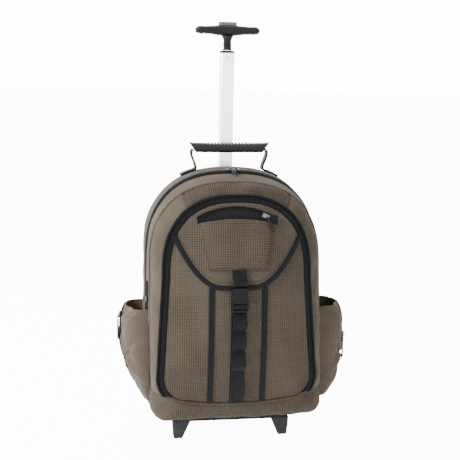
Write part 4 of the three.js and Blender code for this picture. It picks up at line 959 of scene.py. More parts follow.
@dataclass
class MainBody:
    """The main compartment: two cloth tubs that meet at the zip over the arch."""

    half_width: float = 165
    top: float = 519
    bottom: float = 47
    zip_y: float = -15
    front_depth: float = 45
    back_depth: float = 73
    zip_end: float = 190
    zip_width: float = 7
    low: int = 26
    high: int = 60
    # along, width, height, lift: shares of the depth, the bag's half width, its height, and its height again
    back_table: tuple = (
        (0.00, 1.000, 1.000, 0.000), (0.14, 1.013, 1.006, 0.000), (0.48, 1.024, 1.010, 0.000),
        (0.80, 1.010, 1.003, 0.000), (0.94, 0.975, 0.984, 0.008), (1.00, 0.920, 0.955, 0.022),
    )
    front_table: tuple = (
        (0.00, 1.000, 1.000, 0.000), (0.08, 1.002, 0.999, 0.000), (0.22, 1.000, 0.993, 0.000),
        (0.60, 0.994, 0.983, 0.000),
        (1.00, 0.982, 0.970, 0.002),
    )

    @property
    def height(self) -> float:
        """The bag's height."""
        return self.top - self.bottom

    @property
    def back_y(self) -> float:
        """Depth of its back face."""
        return self.zip_y + self.back_depth

    @property
    def seam_y(self) -> float:
        """Depth of the seam to the front compartment."""
        return self.zip_y - self.front_depth

    def outline(self, width: float, height: float, lift: float) -> Outline:
        """The outline of one section."""
        return Outline(
            half=self.half_width * width, flare=4, spring=345, corner=26, lean=1,
            top=self.bottom + self.height * height, bottom=self.bottom + self.height * lift,
        )

    def section(self, table: tuple, along: float) -> Outline:
        """The outline at a share of the depth, on a smooth curve through the table."""
        rows = np.array(table)
        return self.outline(*curve_through(rows[:, 0], rows[:, 1:], np.array(along)))

    def seam_outline(self) -> Outline:
        """The outline where the front compartment is sewn on."""
        return self.outline(*self.front_table[-1][1:])

    def side_x(self, side: int, y: Array, z: Array) -> Array:
        """x of the bag's side at a depth and height."""
        back, front = np.array(self.back_table), np.array(self.front_table)
        width = np.where(
            y < self.zip_y,
            np.interp((self.zip_y - y) / self.front_depth, front[:, 0], front[:, 1]),
            np.interp((y - self.zip_y) / self.back_depth, back[:, 0], back[:, 1]),
        )
        flare = np.clip(4 * (345 - z) / 272, None, 4)
        return side * (self.half_width * width + flare) + lean_at(z)

    def crown_z(self, x: float, y: float) -> float:
        """Height of the bag's top at x and y, behind the zip."""
        o = self.section(self.back_table, (y - self.zip_y) / self.back_depth)
        share = min(abs(x - float(lean_at(o.top))) / o.half, 1.0)
        return o.spring + (o.top - o.spring) * (1 - share**o.exponent) ** (1 / o.exponent)

    def tub(self, table: tuple, depth: float, way: int, seed: int) -> Skin:
        """One tub: its wall from the zip to the far face, then that face in rings to its middle.

        The wall is the table's outlines along the depth; the far face shrinks the last one to a point. Cloth
        unevenness is added along the normals.
        """
        along = np.array([0.0, 0.03, 0.08, 0.14, 0.22, 0.31, 0.4, 0.5, 0.6, 0.7, 0.79, 0.86, 0.91, 0.95,
                          0.98, 1.0])
        shares = np.array([0.97, 0.92, 0.84, 0.72, 0.58, 0.44, 0.3, 0.16, 0.0])

        def grid(inset: float) -> Array:
            rows = []
            for share in along:
                ring = self.section(table, share).shrunk(inset).around(self.zip_end, self.low, self.high)
                y = np.full(len(ring), self.zip_y + way * min(depth * share, depth - inset))
                if share == 0:
                    y += way * (GAP / 2 + (self.zip_width / 2 + GAP / 2) * smooth_step(ring[:, 1],
                        self.zip_end - 6, self.zip_end))
                rows.append(np.stack([ring[:, 0], y, ring[:, 1]], axis=1))
            middle = np.array([lean_at(283), self.zip_y + way * (depth - inset), 283.0])
            last = rows[-1]
            rows += [middle + (last - middle) * share for share in shares]
            return np.stack(rows)

        outer, inner = grid(0), grid(WALL)
        wave = ripples(outer[..., 1] + 0.3 * outer[..., 0], outer[..., 2], seed, 90) * 1.3
        wave += ripples(outer[..., 1], outer[..., 2], seed + 1, 34) * 0.45
        fade = smooth_step(np.minimum(np.abs(outer[..., 1] - self.zip_y), 12), 2, 12)
        normal = grid_normals(outer, True)
        normal *= np.sign((normal[4] * (outer[4] - outer[4].mean(0))).sum())
        shift = normal * (wave * fade)[..., None]
        shift[-9:] = 0
        return sheet_skin(outer + shift, inner + shift, wrap=True, pole=True)

    def build(self, shop: Workshop) -> None:
        """Makes the two tubs, the zip and the piping round the back edge."""
        back = self.tub(self.back_table, self.back_depth, 1, 3)
        front = self.tub(self.front_table, self.front_depth, -1, 5)
        shop.piece("main_back_cloth", back, Cloth.BAG, stands_for=("main_back",), soft=True)
        shop.piece("main_front_cloth", front, Cloth.BAG, stands_for=("main_front",), soft=True)
        self.build_zip(shop)
        self.build_piping(shop)

    def build_zip(self, shop: Workshop) -> None:
        """Makes the main zip: two tapes that rise to a coil, carried over the arch, with its teeth and
        sliders."""
        line = self.outline(1, 1, 0).around(self.zip_end, self.low, self.high)[self.low : -self.low + 1]
        path = np.stack([line[:, 0], np.full(len(line), self.zip_y), line[:, 1]], axis=1)
        half = self.zip_width / 2 + 0.8
        # The front tape is wider than the back one, and lies down over the front cloth
        section = np.array([
            [-half - 4.6, -2.4], [-half - 4.4, -1.2], [-half - 2.2, 0.9], [-half, 2.0], [-half * 0.75, 2.8],
            [-half * 0.4, 1.8],
            [-half * 0.2, 2.5], [half * 0.2, 2.5], [half * 0.4, 1.8], [half * 0.75, 2.8], [half, 1.2],
            [half, -TAPE],
            [0, -TAPE], [-half, -TAPE],
        ])
        rings = carried(path, section * [1, -1], (0.0, 1.0, 0.0))
        out = unit(np.cross(np.gradient(path, axis=0), [0.0, 1.0, 0.0]))
        out *= np.sign((out[0] * (path[0] - [0, self.zip_y, 300])).sum())
        if ((rings[0, 4] - path[0]) * out[0]).sum() < 0:
            rings = carried(path, section, (0.0, 1.0, 0.0))
        # The section's first point is on the front tape, whichever way the path is carried
        if rings[0, 0, 1] > path[0, 1]:
            rings[..., 1] = 2 * path[:, None, 1] - rings[..., 1]
        shop.piece("main_zip_tape", bar_skin(rings), Cloth.ZIP_TAPE, stands_for=("main_zip",), sharp=60)
        shop.piece("main_zip_coil", grains(path + out * 2.4, 2.6, (1.7, 3.4, 1.3), out), Cloth.COIL)
        for word, x, tilt in (("left", -6.0, 0.55), ("right", 8.0, -0.5)):
            self.build_slider(shop, word, x, tilt)

    def build_slider(self, shop: Workshop, word: str, x: float, tilt: float) -> None:
        """Makes one slider of the main zip: body, bridge and a flat pull that lies forward."""
        z = self.top + 3.4
        ends = np.array([[-6.0, 0.0], [-4.0, 0.6], [4.0, 0.6], [6.0, 0.0]])
        body = carried(np.stack([x + ends[:, 0], np.full(4, self.zip_y), z + ends[:, 1]], axis=1),
                       rounded_section(self.zip_width + 3.5, 3.6, 16), (0.0, 1.0, 0.0))
        arch = np.array([[x, self.zip_y + 4, z + 1], [x, self.zip_y + 3, z + 4.6],
                         [x, self.zip_y - 4, z + 4.6], [x, self.zip_y - 5, z + 1]])
        bridge = carried(smooth_path(arch, 12), rounded_section(3.4, 1.4, 10), (1.0, 0.0, 0.0))
        shop.piece(f"main_slider_body_{word}", joined([bar_skin(body), bar_skin(bridge)]), Cloth.NICKEL,
                   stands_for=(f"main_slider_{word}",))
        run = unit(np.array([math.sin(tilt), -math.cos(tilt), -0.42 if x < 0 else -0.34]))
        start = np.array([x, self.zip_y - 4, z + 3.4])
        shop.plate(f"main_pull_{word}", pull_outlines(7.6, 27.0), 2.0, tuple(start),
                   tuple(unit(np.cross(run, [0, 0, -1]))),
                   tuple(-run), Cloth.HANDLE)

    def build_piping(self, shop: Workshop) -> None:
        """Makes the corded piping sewn round the edge of the back."""
        ring = self.section(self.back_table, 0.975).shrunk(-0.5).around(self.zip_end, 60, 90)
        path = np.stack([ring[:, 0], np.full(len(ring), self.back_y - 2.2), ring[:, 1]], axis=1)
        centre = path.mean(0)
        out = unit((path - centre) * [1, 0, 1])
        closed = np.concatenate([path[-1:], path, path[:1]])
        run = unit(closed[2:] - closed[:-2])
        side = np.cross(run, out)
        t = np.linspace(0, 2 * math.pi, 10, endpoint=False)
        rings = path[:, None] + 2.0 * (np.cos(t)[None, :, None] * out[:, None] + np.sin(t)[None, :,
            None] * side[:, None])
        shop.piece("back_piping", bar_skin(rings, loop=True), Cloth.BINDING)


def pull_outlines(width: float, length: float) -> list[Array]:
    """Outlines of a flat zip pull: a long drop with a hole at each end, hanging down from zero."""
    t = np.linspace(0, 2 * math.pi, 28, endpoint=False)
    drop = np.stack([np.sin(t) * width / 2 * (0.72 + 0.28 * (1 - np.cos(t)) / 2),
                     -length / 2 + np.cos(t) * length / 2], 1)
    hole = np.stack([np.sin(t[::2]), np.cos(t[::2])], axis=1)
    return [drop, hole * [width * 0.2, width * 0.22] + [0, -width * 0.45],
            hole * [width * 0.22, width * 0.5] + [0, -length + width * 0.9]]


# The front compartment


@dataclass
class FrontFace:
    """The front compartment: gusset, lower wrap, zip and crowned face, and the height of that face
    anywhere."""

    main: MainBody
    half_width: float = 128
    flare: float = 13
    top: float = 472
    bottom: float = 87
    depth: float = 40
    tilt: float = 8
    crown: float = 15
    centre_z: float = 285
    seam: float = 104
    zip_width: float = 11
    zip_drop: float = 4
    low: int = 34
    high: int = 84

    def __post_init__(self) -> None:
        """Works out the panel's edge as a reach for each direction from its middle."""
        self.edge_line = self.outline(-GAP).around(self.seam, 90, 200)
        self.centre = np.array([float(lean_at(self.centre_z)) * 0.5, self.centre_z])
        arms = self.edge_line - self.centre
        angle = np.arctan2(arms[:, 1], arms[:, 0])
        order = np.argsort(angle)
        self.edge_angle, self.edge_reach = angle[order], np.linalg.norm(arms, axis=1)[order]

    def outline(self, grow: float) -> Outline:
        """The outline inside the zip, grown outwards."""
        base = Outline(
            half=self.half_width, flare=self.flare, top=self.top, bottom=self.bottom, spring=330, corner=42,
            rise=8, lean=0.5
        )
        return base.shrunk(-grow)

    def edge_y(self, z: Array) -> Array:
        """Depth of the panel's edge at a height: it tilts back towards the top."""
        return self.main.seam_y - self.depth + self.tilt * (np.asarray(z,
            float) - self.seam) / (self.top - self.seam)

    def face_y(self, x: Array, z: Array) -> Array:
        """Depth of the crowned face: the crown falls with the square of the share from middle to edge, with a
        little cloth unevenness that fades at the edge."""
        x, z = np.asarray(x, float), np.asarray(z, float)
        dx, dz = x - self.centre[0], z - self.centre[1]
        reach = np.interp(np.arctan2(dz, dx), self.edge_angle, self.edge_reach, period=2 * math.pi)
        share = np.clip(np.hypot(dx, dz) / reach, 0, 1)
        wave = ripples(x, z * 0.6, 11, 95) * 1.0 + ripples(x, z, 12, 38) * 0.28
        return self.edge_y(z) - self.crown * (1 - share**2) - wave * (1 - share**4)

    def build(self, shop: Workshop) -> None:
        """Makes the panel, the gusset, the wrap and the zip."""
        self.build_panel(shop)
        self.build_gusset(shop)
        self.build_wrap(shop)
        self.build_zip(shop)

    def build_panel(self, shop: Workshop) -> None:
        """Makes the crowned face: its edge shrunk in rings to the middle, each at the face's depth."""
        line = self.outline(-GAP).around(self.seam, self.low, self.high)
        shares = np.concatenate([np.linspace(1, 0.9, 5), np.linspace(0.86, 0.0, 24)])
        flat = self.centre + (line - self.centre)[None] * shares[:, None, None]
        y = self.face_y(flat[..., 0], flat[..., 1])
        outer = np.stack([flat[..., 0], y, flat[..., 1]], axis=-1)
        skin = sheet_skin(outer, outer + [0, CLOTH, 0], wrap=True, pole=True)
        piece = shop.piece("front_panel_cloth", skin, Cloth.BAG, stands_for=("front_panel",), soft=True)
        flat_from_front(piece)

    def arch_rows(self, outline: Outline, depth: Array | float, mark: float) -> Array:
        """An outline's points in space above the mark, from its right end over the arch to its left end."""
        line = outline.around(mark, self.low, self.high)[self.low : -self.low + 1]
        y = np.full(len(line), depth[0]) if isinstance(depth, np.ndarray) else self.edge_y(line[:, 1]) + depth
        return np.stack([line[:, 0], y, line[:, 1]], axis=1)

    def build_gusset(self, shop: Workshop) -> None:
        """Makes the arched band of three sewn panels: straight from seam to zip in front view, its depth by a
        power of 0.8, puffed between its seams, with a piped seam along its back."""
        share = np.concatenate([[0.0, 0.03, 0.07], np.linspace(0.12, 0.93, 12), [0.97, 1.0]])[:, None, None]
        grids = []
        for inset in (0.0, CLOTH):
            back = self.arch_rows(self.main.seam_outline().shrunk(inset), np.array([self.main.seam_y - GAP]),
                                  self.seam + GAP)
            front = self.arch_rows(self.outline(self.zip_width + CLOTH + GAP).shrunk(inset), self.zip_drop,
                                   self.seam + GAP)
            grid = back[None] + (front - back)[None] * share
            grid[..., 1] = back[None, :, 1] + (front - back)[None, :, 1] * share[..., 0] ** 0.8
            grids.append(grid)
        columns = np.arange(grids[0].shape[1], dtype=float)
        x = grids[0][0, :, 0]
        cuts = [0.0, *(float(columns[np.argmin(np.abs(x - at) + 400 * (grids[0][0, :,
            2] < 400))]) for at in (103, -97)), columns[-1]]
        for word, cloth, low, high, stands in (
            ("right", Cloth.BAG, cuts[0], cuts[1], ()),
            ("top", Cloth.DOBBY, cuts[1], cuts[2], ("front_gusset",)),
            ("left", Cloth.BAG, cuts[2], cuts[3], ()),
        ):
            ends = np.array([0, 0.12, 0.3, 0.55, 0.85])
            at = np.concatenate([low + ends, np.linspace(low + 1.2, high - 1.2, int(high - low)),
                                 high - ends[::-1]])
            outer, inner = (self.columns_at(grid, at) for grid in grids)
            shift, normal = self.gusset_puff(outer, np.minimum(at - low, high - at), share[..., 0])
            shop.piece(f"gusset_cloth_{word}", sheet_skin(outer + shift, inner + shift), cloth,
                       stands_for=stands, soft=True)
            edge = outer[2] + shift[2] + normal[2] * 0.4
            shop.piece(f"gusset_stitches_{word}", grains(edge, 4.4, (3.0, 0.9, 0.8), normal[2]),
                       Cloth.THREAD, soft=True)
        self.build_seam_piping(shop, grids[0][0])

    def columns_at(self, grid: Array, at: Array) -> Array:
        """Columns of a grid at numbers that may lie between two of them."""
        low = np.clip(at.astype(int), 0, grid.shape[1] - 2)
        part = (at - low)[None, :, None]
        return grid[:, low] * (1 - part) + grid[:, low + 1] * part

    def gusset_puff(self, outer: Array, beside: Array, share: Array) -> tuple[Array, Array]:
        """How far the filled cloth stands out: sin(pi s)^0.6 between seam and zip, less beside the sewn
        seams.

        Args:
            outer: the grid of the band.
            beside: columns from the nearer sewn seam.
            share: share of the way from seam to zip, one for each row.

        Returns:
            The shift of each point and the outward normals.
        """
        normal = grid_normals(outer)
        normal *= np.sign((normal * (outer - [0, 0, 285])).sum())
        x, z = outer[..., 0], outer[..., 2]
        arch = np.sin(math.pi * np.clip(share, 0, 1)) ** 0.6
        seam = smooth_step(beside, 0, 0.9)[None]
        wave = ripples(x, z, 21, 60) * 1.7 + ripples(x, z, 22, 27) * 0.8
        # Tucks that run out of the sewn seams at the shoulders
        tuck = np.exp(-(((x + 0.5 * (z - 430) + 128)
                         / 7) ** 2)) + 0.7 * np.exp(-(((x - 0.4 * (z - 420) - 140) / 6) ** 2))
        puff = arch * (2.8 * (0.25 + 0.75 * seam) + wave - 2.4 * tuck * (z > 330)) - 1.6 * (1 - seam)
        return normal * puff[..., None], normal

    def build_seam_piping(self, shop: Workshop, line: Array) -> None:
        """Makes the self-fabric piping in the seam between the main bag and the front compartment."""
        out = unit((line - [0, 0, 285]) * [1, 0, 1])
        run = unit(np.gradient(line, axis=0))
        t = np.linspace(0, 2 * math.pi, 10, endpoint=False)
        forward = np.cross(run, out)
        middle = line + out * 0.4
        rings = middle[:, None] + 1.7 * (np.cos(t)[None, :, None] * out[:, None] + np.sin(t)[None, :,
            None] * forward[:, None])
        shop.piece("front_seam_piping", bar_skin(rings), Cloth.BAG, soft=True)

    def build_wrap(self, shop: Workshop) -> None:
        """Makes the lower front: from the bag's bottom edge it rounds forward and up to the panel's bottom
        seam, deeper at the middle than at the corners, with a few folds at the corners."""
        columns = np.arange(-self.low, self.low + 1)
        turn = np.abs(columns) / self.low
        share = np.concatenate([[0.0, 0.03], np.linspace(0.08, 0.97, 16), [1.0]])[:, None]
        back = self.main.seam_outline().around(self.seam - GAP, self.low, self.high)[columns]
        front = self.outline(0).around(self.seam - GAP, self.low, self.high)[columns]
        by, fy = self.main.seam_y - GAP, self.edge_y(front[:, 1])
        roll = 1 + 1.5 * (1 - turn**2)
        bend = 1 / (1 + 0.4 * (1 - turn**2))
        flat = back[None] + (front - back)[None] * (share**roll)[..., None]
        grids = []
        for inset in (0.0, CLOTH):
            y = by + (fy - by + inset) * share**bend
            grids.append(np.stack([flat[..., 0], y, flat[..., 1] + inset * 0.6 * (1 - share)], axis=-1))
        outer, inner = grids
        normal = grid_normals(outer)
        normal *= np.sign((normal * (outer - [0, 0, 200])).sum())
        angle = np.arctan2(outer[..., 2] - 110, np.abs(outer[..., 0]) - 100)
        folds = np.sin(angle * 9 + 0.6 * np.sign(outer[..., 0])) * smooth_step(np.abs(outer[..., 0]), 90,
            140) * 1.3
        puff = (1.6 + folds + ripples(outer[..., 0], outer[..., 2], 31,
                                      44) * 1.0) * np.sin(math.pi * np.clip(share, 0, 1))
        shift = normal * puff[..., None]
        shop.piece("bottom_wrap_cloth", sheet_skin(outer + shift, inner + shift), Cloth.BAG,
                   stands_for=("bottom_wrap",), soft=True)
        line = (outer + shift)[-1] - [0, 0.6, 0]
        t = np.linspace(0, 2 * math.pi, 8, endpoint=False)
        rings = line[:, None] + 0.9 * np.stack([0 * t, np.cos(t), np.sin(t)], axis=1)[None]
        shop.piece("bottom_seam_cord", bar_skin(rings), Cloth.THREAD, soft=True)
        edge = (outer + shift)[-3] + normal[-3] * 0.3
        shop.piece("wrap_stitches", grains(edge, 4.4, (3.0, 0.9, 0.7), normal[-3]), Cloth.THREAD, soft=True)

    def build_zip(self, shop: Workshop) -> None:
        """Makes the front zip: a corded ridge on each side of a coil, as heights across the band."""
        inner = self.arch_rows(self.outline(0), 0.0, self.seam)
        outer = self.arch_rows(self.outline(self.zip_width), self.zip_drop, self.seam)
        across = np.array([-0.14, -0.12, -0.04, 0.08, 0.2, 0.32, 0.38, 0.5, 0.62, 0.7, 0.82, 0.95, 1.08, 1.2,
                           1.24])
        height = np.array([-0.4, 0.9, 2.0, 2.5, 2.0, 0.9, 0.5, 0.6, 0.5, 0.9, 2.1, 2.7, 2.1, 0.9, -0.4])
        face = inner[:, None] + (outer - inner)[:, None] * across[None, :, None]
        out = unit(np.cross(np.gradient(inner, axis=0), outer - inner))
        out *= np.where(out[:, 1:2] > 0, -1, 1)
        back = face[:, ::-1] - out[:, None] * TAPE
        front = face + out[:, None] * height[None, :, None]
        rings = np.concatenate([front, back[:, 2:-2]], axis=1)
        shop.piece("front_zip_tape", bar_skin(rings), Cloth.ZIP_TAPE, stands_for=("front_zip",), sharp=70,
                   soft=True)
        middle = (inner + outer) / 2 + out * 1.0
        shop.piece("front_zip_coil", grains(middle, 2.8, (1.8, 3.2, 1.4), out), Cloth.COIL, soft=True)
        for word, at in (("inner", 0.1), ("outer", 0.94)):
            line = inner + (outer - inner) * at + out * 2.5
            shop.piece(f"front_zip_stitches_{word}", grains(line, 3.6, (2.4, 0.7, 0.5), out),
                       Cloth.BLACK_THREAD, soft=True)


def flat_from_front(piece: Object) -> None:
    """Lays a piece's flat cloth in its front view, so that the weave runs straight up and across it."""
    mesh = piece.data
    corner = np.zeros(len(mesh.loops), np.int32)
    mesh.loops.foreach_get("vertex_index", corner)
    points = np.zeros(len(mesh.vertices) * 3, np.float32)
    mesh.vertices.foreach_get("co", points)
    flat = points.reshape(-1, 3)[corner][:, [0, 2]]
    mesh.uv_layers["UVMap"].data.foreach_set("uv", np.ascontiguousarray(flat).ravel())


# The flap, the slot pocket and the webbing on the front


@dataclass
class FlapAndPocket:
    """The yoke over the top of the front, its bound U-shaped edge, and the slot pocket on it."""

    face: FrontFace
    half_width: float = 112
    bottom: float = 319
    rise: float = 90
    flat: float = 28
    binding: float = 10
    slot_left: float = -76
    slot_right: float = 66
    slot_top: float = 438
    slot_arch: float = 9
    slot_bottom: float = 348
    slot_taper: float = 20
    slot_lift: float = 7

    def low(self, x: Array) -> Array:
        """Height of the flap's edge: flat in the middle, then rising with the square of the distance."""
        share = np.maximum(np.abs(x) - self.flat, 0) / (self.half_width - self.flat)
        return self.bottom + self.rise * share**2

    def high(self, x: Array) -> Array:
        """Height of the flap's top edge, just inside the zip's arch."""
        o = self.face.outline(-1.5)
        share = np.minimum(np.abs(x - float(lean_at(self.face.top)) * 0.5) / o.half, 1)
        return o.spring + (o.top - o.spring) * (1 - share**o.exponent) ** (1 / o.exponent)

    def mouth(self, x: Array) -> Array:
        """Height of the slot pocket's mouth: a shallow arch."""
        share = (2 * x - self.slot_left - self.slot_right) / (self.slot_right - self.slot_left)
        return self.slot_top + self.slot_arch * (1 - share**2)

    def build(self, shop: Workshop) -> None:
        """Makes the flap, its binding, the pocket, its zip and all the stitching."""
        self.build_flap(shop)
        self.build_binding(shop)
        self.build_pocket(shop)
        self.build_slot_zip(shop)

    def build_flap(self, shop: Workshop) -> None:
        """Makes the flap: columns from its edge up to the arch, on the crowned face."""
        x = np.linspace(-self.half_width, self.half_width, 96)
        v = np.linspace(0, 1, 56)[:, None]
        z = self.low(x)[None] + (self.high(x) - self.low(x))[None] * v
        grid_x = np.broadcast_to(x, z.shape)
        y = self.face.face_y(grid_x, z)
        lift = SEAM + CLOTH + 0.5 * ripples(grid_x, z, 41, 50) * np.sin(math.pi * np.clip(v, 0, 1))
        outer = np.stack([grid_x, y - lift, z], axis=-1)
        piece = shop.piece("front_flap_cloth", sheet_skin(outer, outer + [0, CLOTH, 0]), Cloth.BAG,
                           stands_for=("front_flap",), soft=True)
        flat_from_front(piece)
        # The yoke is cut to its outline, which fills a little over six tenths of its rectangle
        line = np.stack([x, self.low(x) + 5.0 + 0 * x], axis=1)
        path = np.stack([line[:, 0], self.face.face_y(x, line[:, 1]) - SEAM - CLOTH - 0.5, line[:, 1]],
                        axis=1)
        shop.piece("flap_stitches", grains(path, 4.4, (3.0, 0.9, 0.7), (0, -1, 0)), Cloth.THREAD, soft=True)

    def build_binding(self, shop: Workshop) -> None:
        """Makes the binding: a rounded tape folded over the flap's edge, carried along it."""
        x = np.linspace(-self.half_width - 1, self.half_width + 1, 150)
        edge = np.stack([x, self.low(x)], axis=1)
        run = unit(np.gradient(edge, axis=0))
        down = np.stack([run[:, 1], -run[:, 0]], axis=1)
        t = np.linspace(0, math.pi, 13)
        across = (1 - np.cos(t)) / 2 * self.binding
        out = SEAM + 0.3 + 3.3 * np.sin(t) ** 0.45
        flat = edge[:, None] + down[:, None] * across[None, :, None]
        y = self.face.face_y(flat[..., 0], flat[..., 1])
        front = np.stack([flat[..., 0], y - out, flat[..., 1]], axis=-1)
        back = np.stack([flat[..., 0], y - SEAM * 0.5, flat[..., 1]], axis=-1)[:, ::-1]
        rings = np.concatenate([front, back[:, 1:-1]], axis=1)
        shop.piece("flap_binding_tape", bar_skin(rings), Cloth.BINDING, stands_for=("flap_binding",),
                   sharp=70, soft=True)
        line = flat[:, 4]
        path = np.stack([line[:, 0], self.face.face_y(line[:, 0], line[:, 1]) - SEAM - 3.7, line[:, 1]],
                        axis=1)
        shop.piece("binding_stitches", grains(path, 3.8, (2.6, 0.8, 0.6), (0, -1, 0)), Cloth.BLACK_THREAD,
                   soft=True)

    def pocket_grid(self, u: Array, v: Array, out: float = 0.0) -> Array:
        """The pocket's face: sewn down at its sides and bottom, lifted at its mouth by sin(pi u)^0.7 v^0.8.

        Args:
            u, v: shares across and up the pocket.
            out: how far outside the face.

        Returns:
            The points.
        """
        narrow = self.slot_taper * (1 - v)
        x = self.slot_left + narrow + (self.slot_right - self.slot_left - 1.6 * narrow) * u
        z = self.slot_bottom + (self.mouth(x) - self.slot_bottom) * v
        lift = self.slot_lift * np.abs(np.sin(math.pi * u)) ** 0.7 * v**0.8
        wave = ripples(x, z, 51, 48) * 0.6 * np.sin(math.pi * np.clip(u, 0, 1))
        y = self.face.face_y(x, z) - 2 * SEAM - 2 * CLOTH - lift - wave - out
        return np.stack([x, y, z], axis=-1)

    def build_pocket(self, shop: Workshop) -> None:
        """Makes the pouch, the bound lip of its mouth and the stitching round it."""
        u, v = np.linspace(0, 1, 64)[None], np.linspace(0, 1, 44)[:, None]
        outer = self.pocket_grid(u + 0 * v, v + 0 * u)
        piece = shop.piece("slot_pocket_cloth", sheet_skin(outer, outer + [0, CLOTH, 0]), Cloth.SLOT,
                           stands_for=("slot_pocket",), soft=True)
        flat_from_front(piece)
        lip_u = np.linspace(0, 1, 60)
        t = np.linspace(0, 2 * math.pi, 12, endpoint=False)
        top = self.pocket_grid(lip_u, np.ones(60)) + [0, CLOTH / 2, -2.0]
        section = np.stack([np.cos(t) * 2.0, np.sin(t) * 3.7], axis=1)
        rings = top[:, None] + np.stack([0 * t, section[:, 0], section[:, 1]], axis=1)[None]
        shop.piece("slot_lip_tape", bar_skin(rings), Cloth.ZIP_TAPE, soft=True)
        edge = np.linspace(0, 1, 40)
        for word, path in (
            ("left", self.pocket_grid(np.full(40, 0.02), edge * 0.95, 0.3)),
            ("right", self.pocket_grid(np.full(40, 0.98), edge * 0.95, 0.3)),
            ("bottom", self.pocket_grid(edge, np.full(40, 0.03), 0.3)),
        ):
            shop.piece(f"pocket_stitches_{word}", grains(path, 4.4, (3.0, 0.9, 0.7), (0, -1, 0)),
                       Cloth.THREAD, soft=True)

    def gape(self, x: Array) -> Array:
        """How far the open mouth's upper tape stands above its lip: a crescent, 11 sin(pi u)^0.6 + 2."""
        u = np.clip((x - self.slot_left) / (self.slot_right - self.slot_left), 0, 1)
        return 2 + 11 * np.sin(math.pi * u) ** 0.6

    def on_flap(self, x: Array, z: Array, out: float) -> Array:
        """Points over the flap's face."""
        return np.stack([x, self.face.face_y(x, z) - SEAM - CLOTH - out, z], axis=-1)

    def build_slot_zip(self, shop: Workshop) -> None:
        """Makes the dark lining in the open mouth, its upper tape and coil, the square end and the slider."""
        x = np.linspace(self.slot_left + 1, self.slot_right - 1, 60)[None]
        v = np.linspace(0, 1, 8)[:, None]
        z = self.mouth(x) - 6 + (self.gape(x) + 6) * v
        lining = self.on_flap(x + 0 * v, z, 1.0)
        shop.piece("slot_lining", sheet_skin(lining, lining + [0, 0.5, 0]), Cloth.LINING, soft=True)
        x = np.linspace(self.slot_left - 1, self.slot_right + 1, 70)
        path = self.on_flap(x, self.mouth(x) + self.gape(x) + 1.5, SEAM + TAPE / 2)
        rings = carried(path, rounded_section(TAPE + 0.8, 6.0, 14), (0.0, 1.0, 0.0))
        shop.piece("slot_zip_tape", bar_skin(rings), Cloth.ZIP_TAPE, stands_for=("slot_zip",), soft=True)
        coil = self.on_flap(x, self.mouth(x) + self.gape(x) - 1.6, SEAM + TAPE + 0.2)
        shop.piece("slot_zip_coil", grains(coil, 2.6, (1.7, 1.8, 3.0), (0, 0, 1)), Cloth.COIL, soft=True)
        self.build_slot_end(shop)
        self.build_slot_slider(shop)

    def build_slot_end(self, shop: Workshop) -> None:
        """Makes the square of webbing sewn over the zip's end, with its stitches."""
        x = self.slot_right - 2.0
        z = float(self.mouth(np.array(x))) + 1.5
        steps = np.array([-8.8, -7.8, -4, 0, 4, 7.8, 8.8])
        path = self.on_flap(x + steps, z - 0.12 * steps, 2 * SEAM + CLOTH + 1.2)
        shop.piece("slot_zip_end",
                   bar_skin(carried(path, rounded_section(2.2, 17.0, 18, 7), (0.0, 1.0, 0.0))), Cloth.WEBBING,
                   soft=True)
        square = np.array([[-6.6, 6.6], [6.6, 6.6], [6.6, -6.6], [-6.6, -6.6], [-6.6, 6.6]])
        along = np.linspace(0, 4, 60)
        flat = np.stack([np.interp(along, np.arange(5), square[:, i]) for i in range(2)], axis=1)
        line = self.on_flap(x + flat[:, 0], z + flat[:, 1] - 0.12 * flat[:, 0], 2 * SEAM + CLOTH + 2.5)
        shop.piece("slot_end_stitches", grains(line, 3.2, (2.2, 0.7, 0.6), (0, -1, 0)), Cloth.BLACK_THREAD,
                   soft=True)

    def build_slot_slider(self, shop: Workshop) -> None:
        """Makes the slot's slider: body, bridge and a long pull that hangs to the right."""
        x = self.slot_right - 16.0
        z = float(self.mouth(np.array(x)) + self.gape(np.array(x))) - 2.5
        start = self.on_flap(np.array([x]), np.array([z]), SEAM + TAPE + 2.4)[0]
        run = np.array([1.0, 0.0, -0.45])
        steps = np.array([-6.0, -4.8, 0.0, 4.8, 6.0])[:, None]
        body = bar_skin(carried(start + run * steps, rounded_section(3.8, 8.6, 18), (0.0, 1.0, 0.0)))
        arch = start + np.array([[-3.5, -1.5, 1.5], [-2.6, -4.2, 1.2], [2.6, -4.2, -1.2], [3.5, -1.5, -1.5]])
        bridge = bar_skin(carried(smooth_path(arch, 14), rounded_section(1.2, 3.2, 10), (0.0, 1.0, 0.0)))
        shop.piece("slot_slider_body", joined([body, bridge]), Cloth.NICKEL, stands_for=("slot_slider",),
                   soft=True)
        down = unit(np.array([0.42, -0.12, -1.0]))
        right = unit(np.cross(down, [0.0, 1.0, 0.0]))
        shop.plate("slot_pull", pull_outlines(8.4, 34.0), 2.2, tuple(start + [1.5, -4.8, 0.5]), tuple(right),
                   tuple(-down),
                   Cloth.HANDLE)


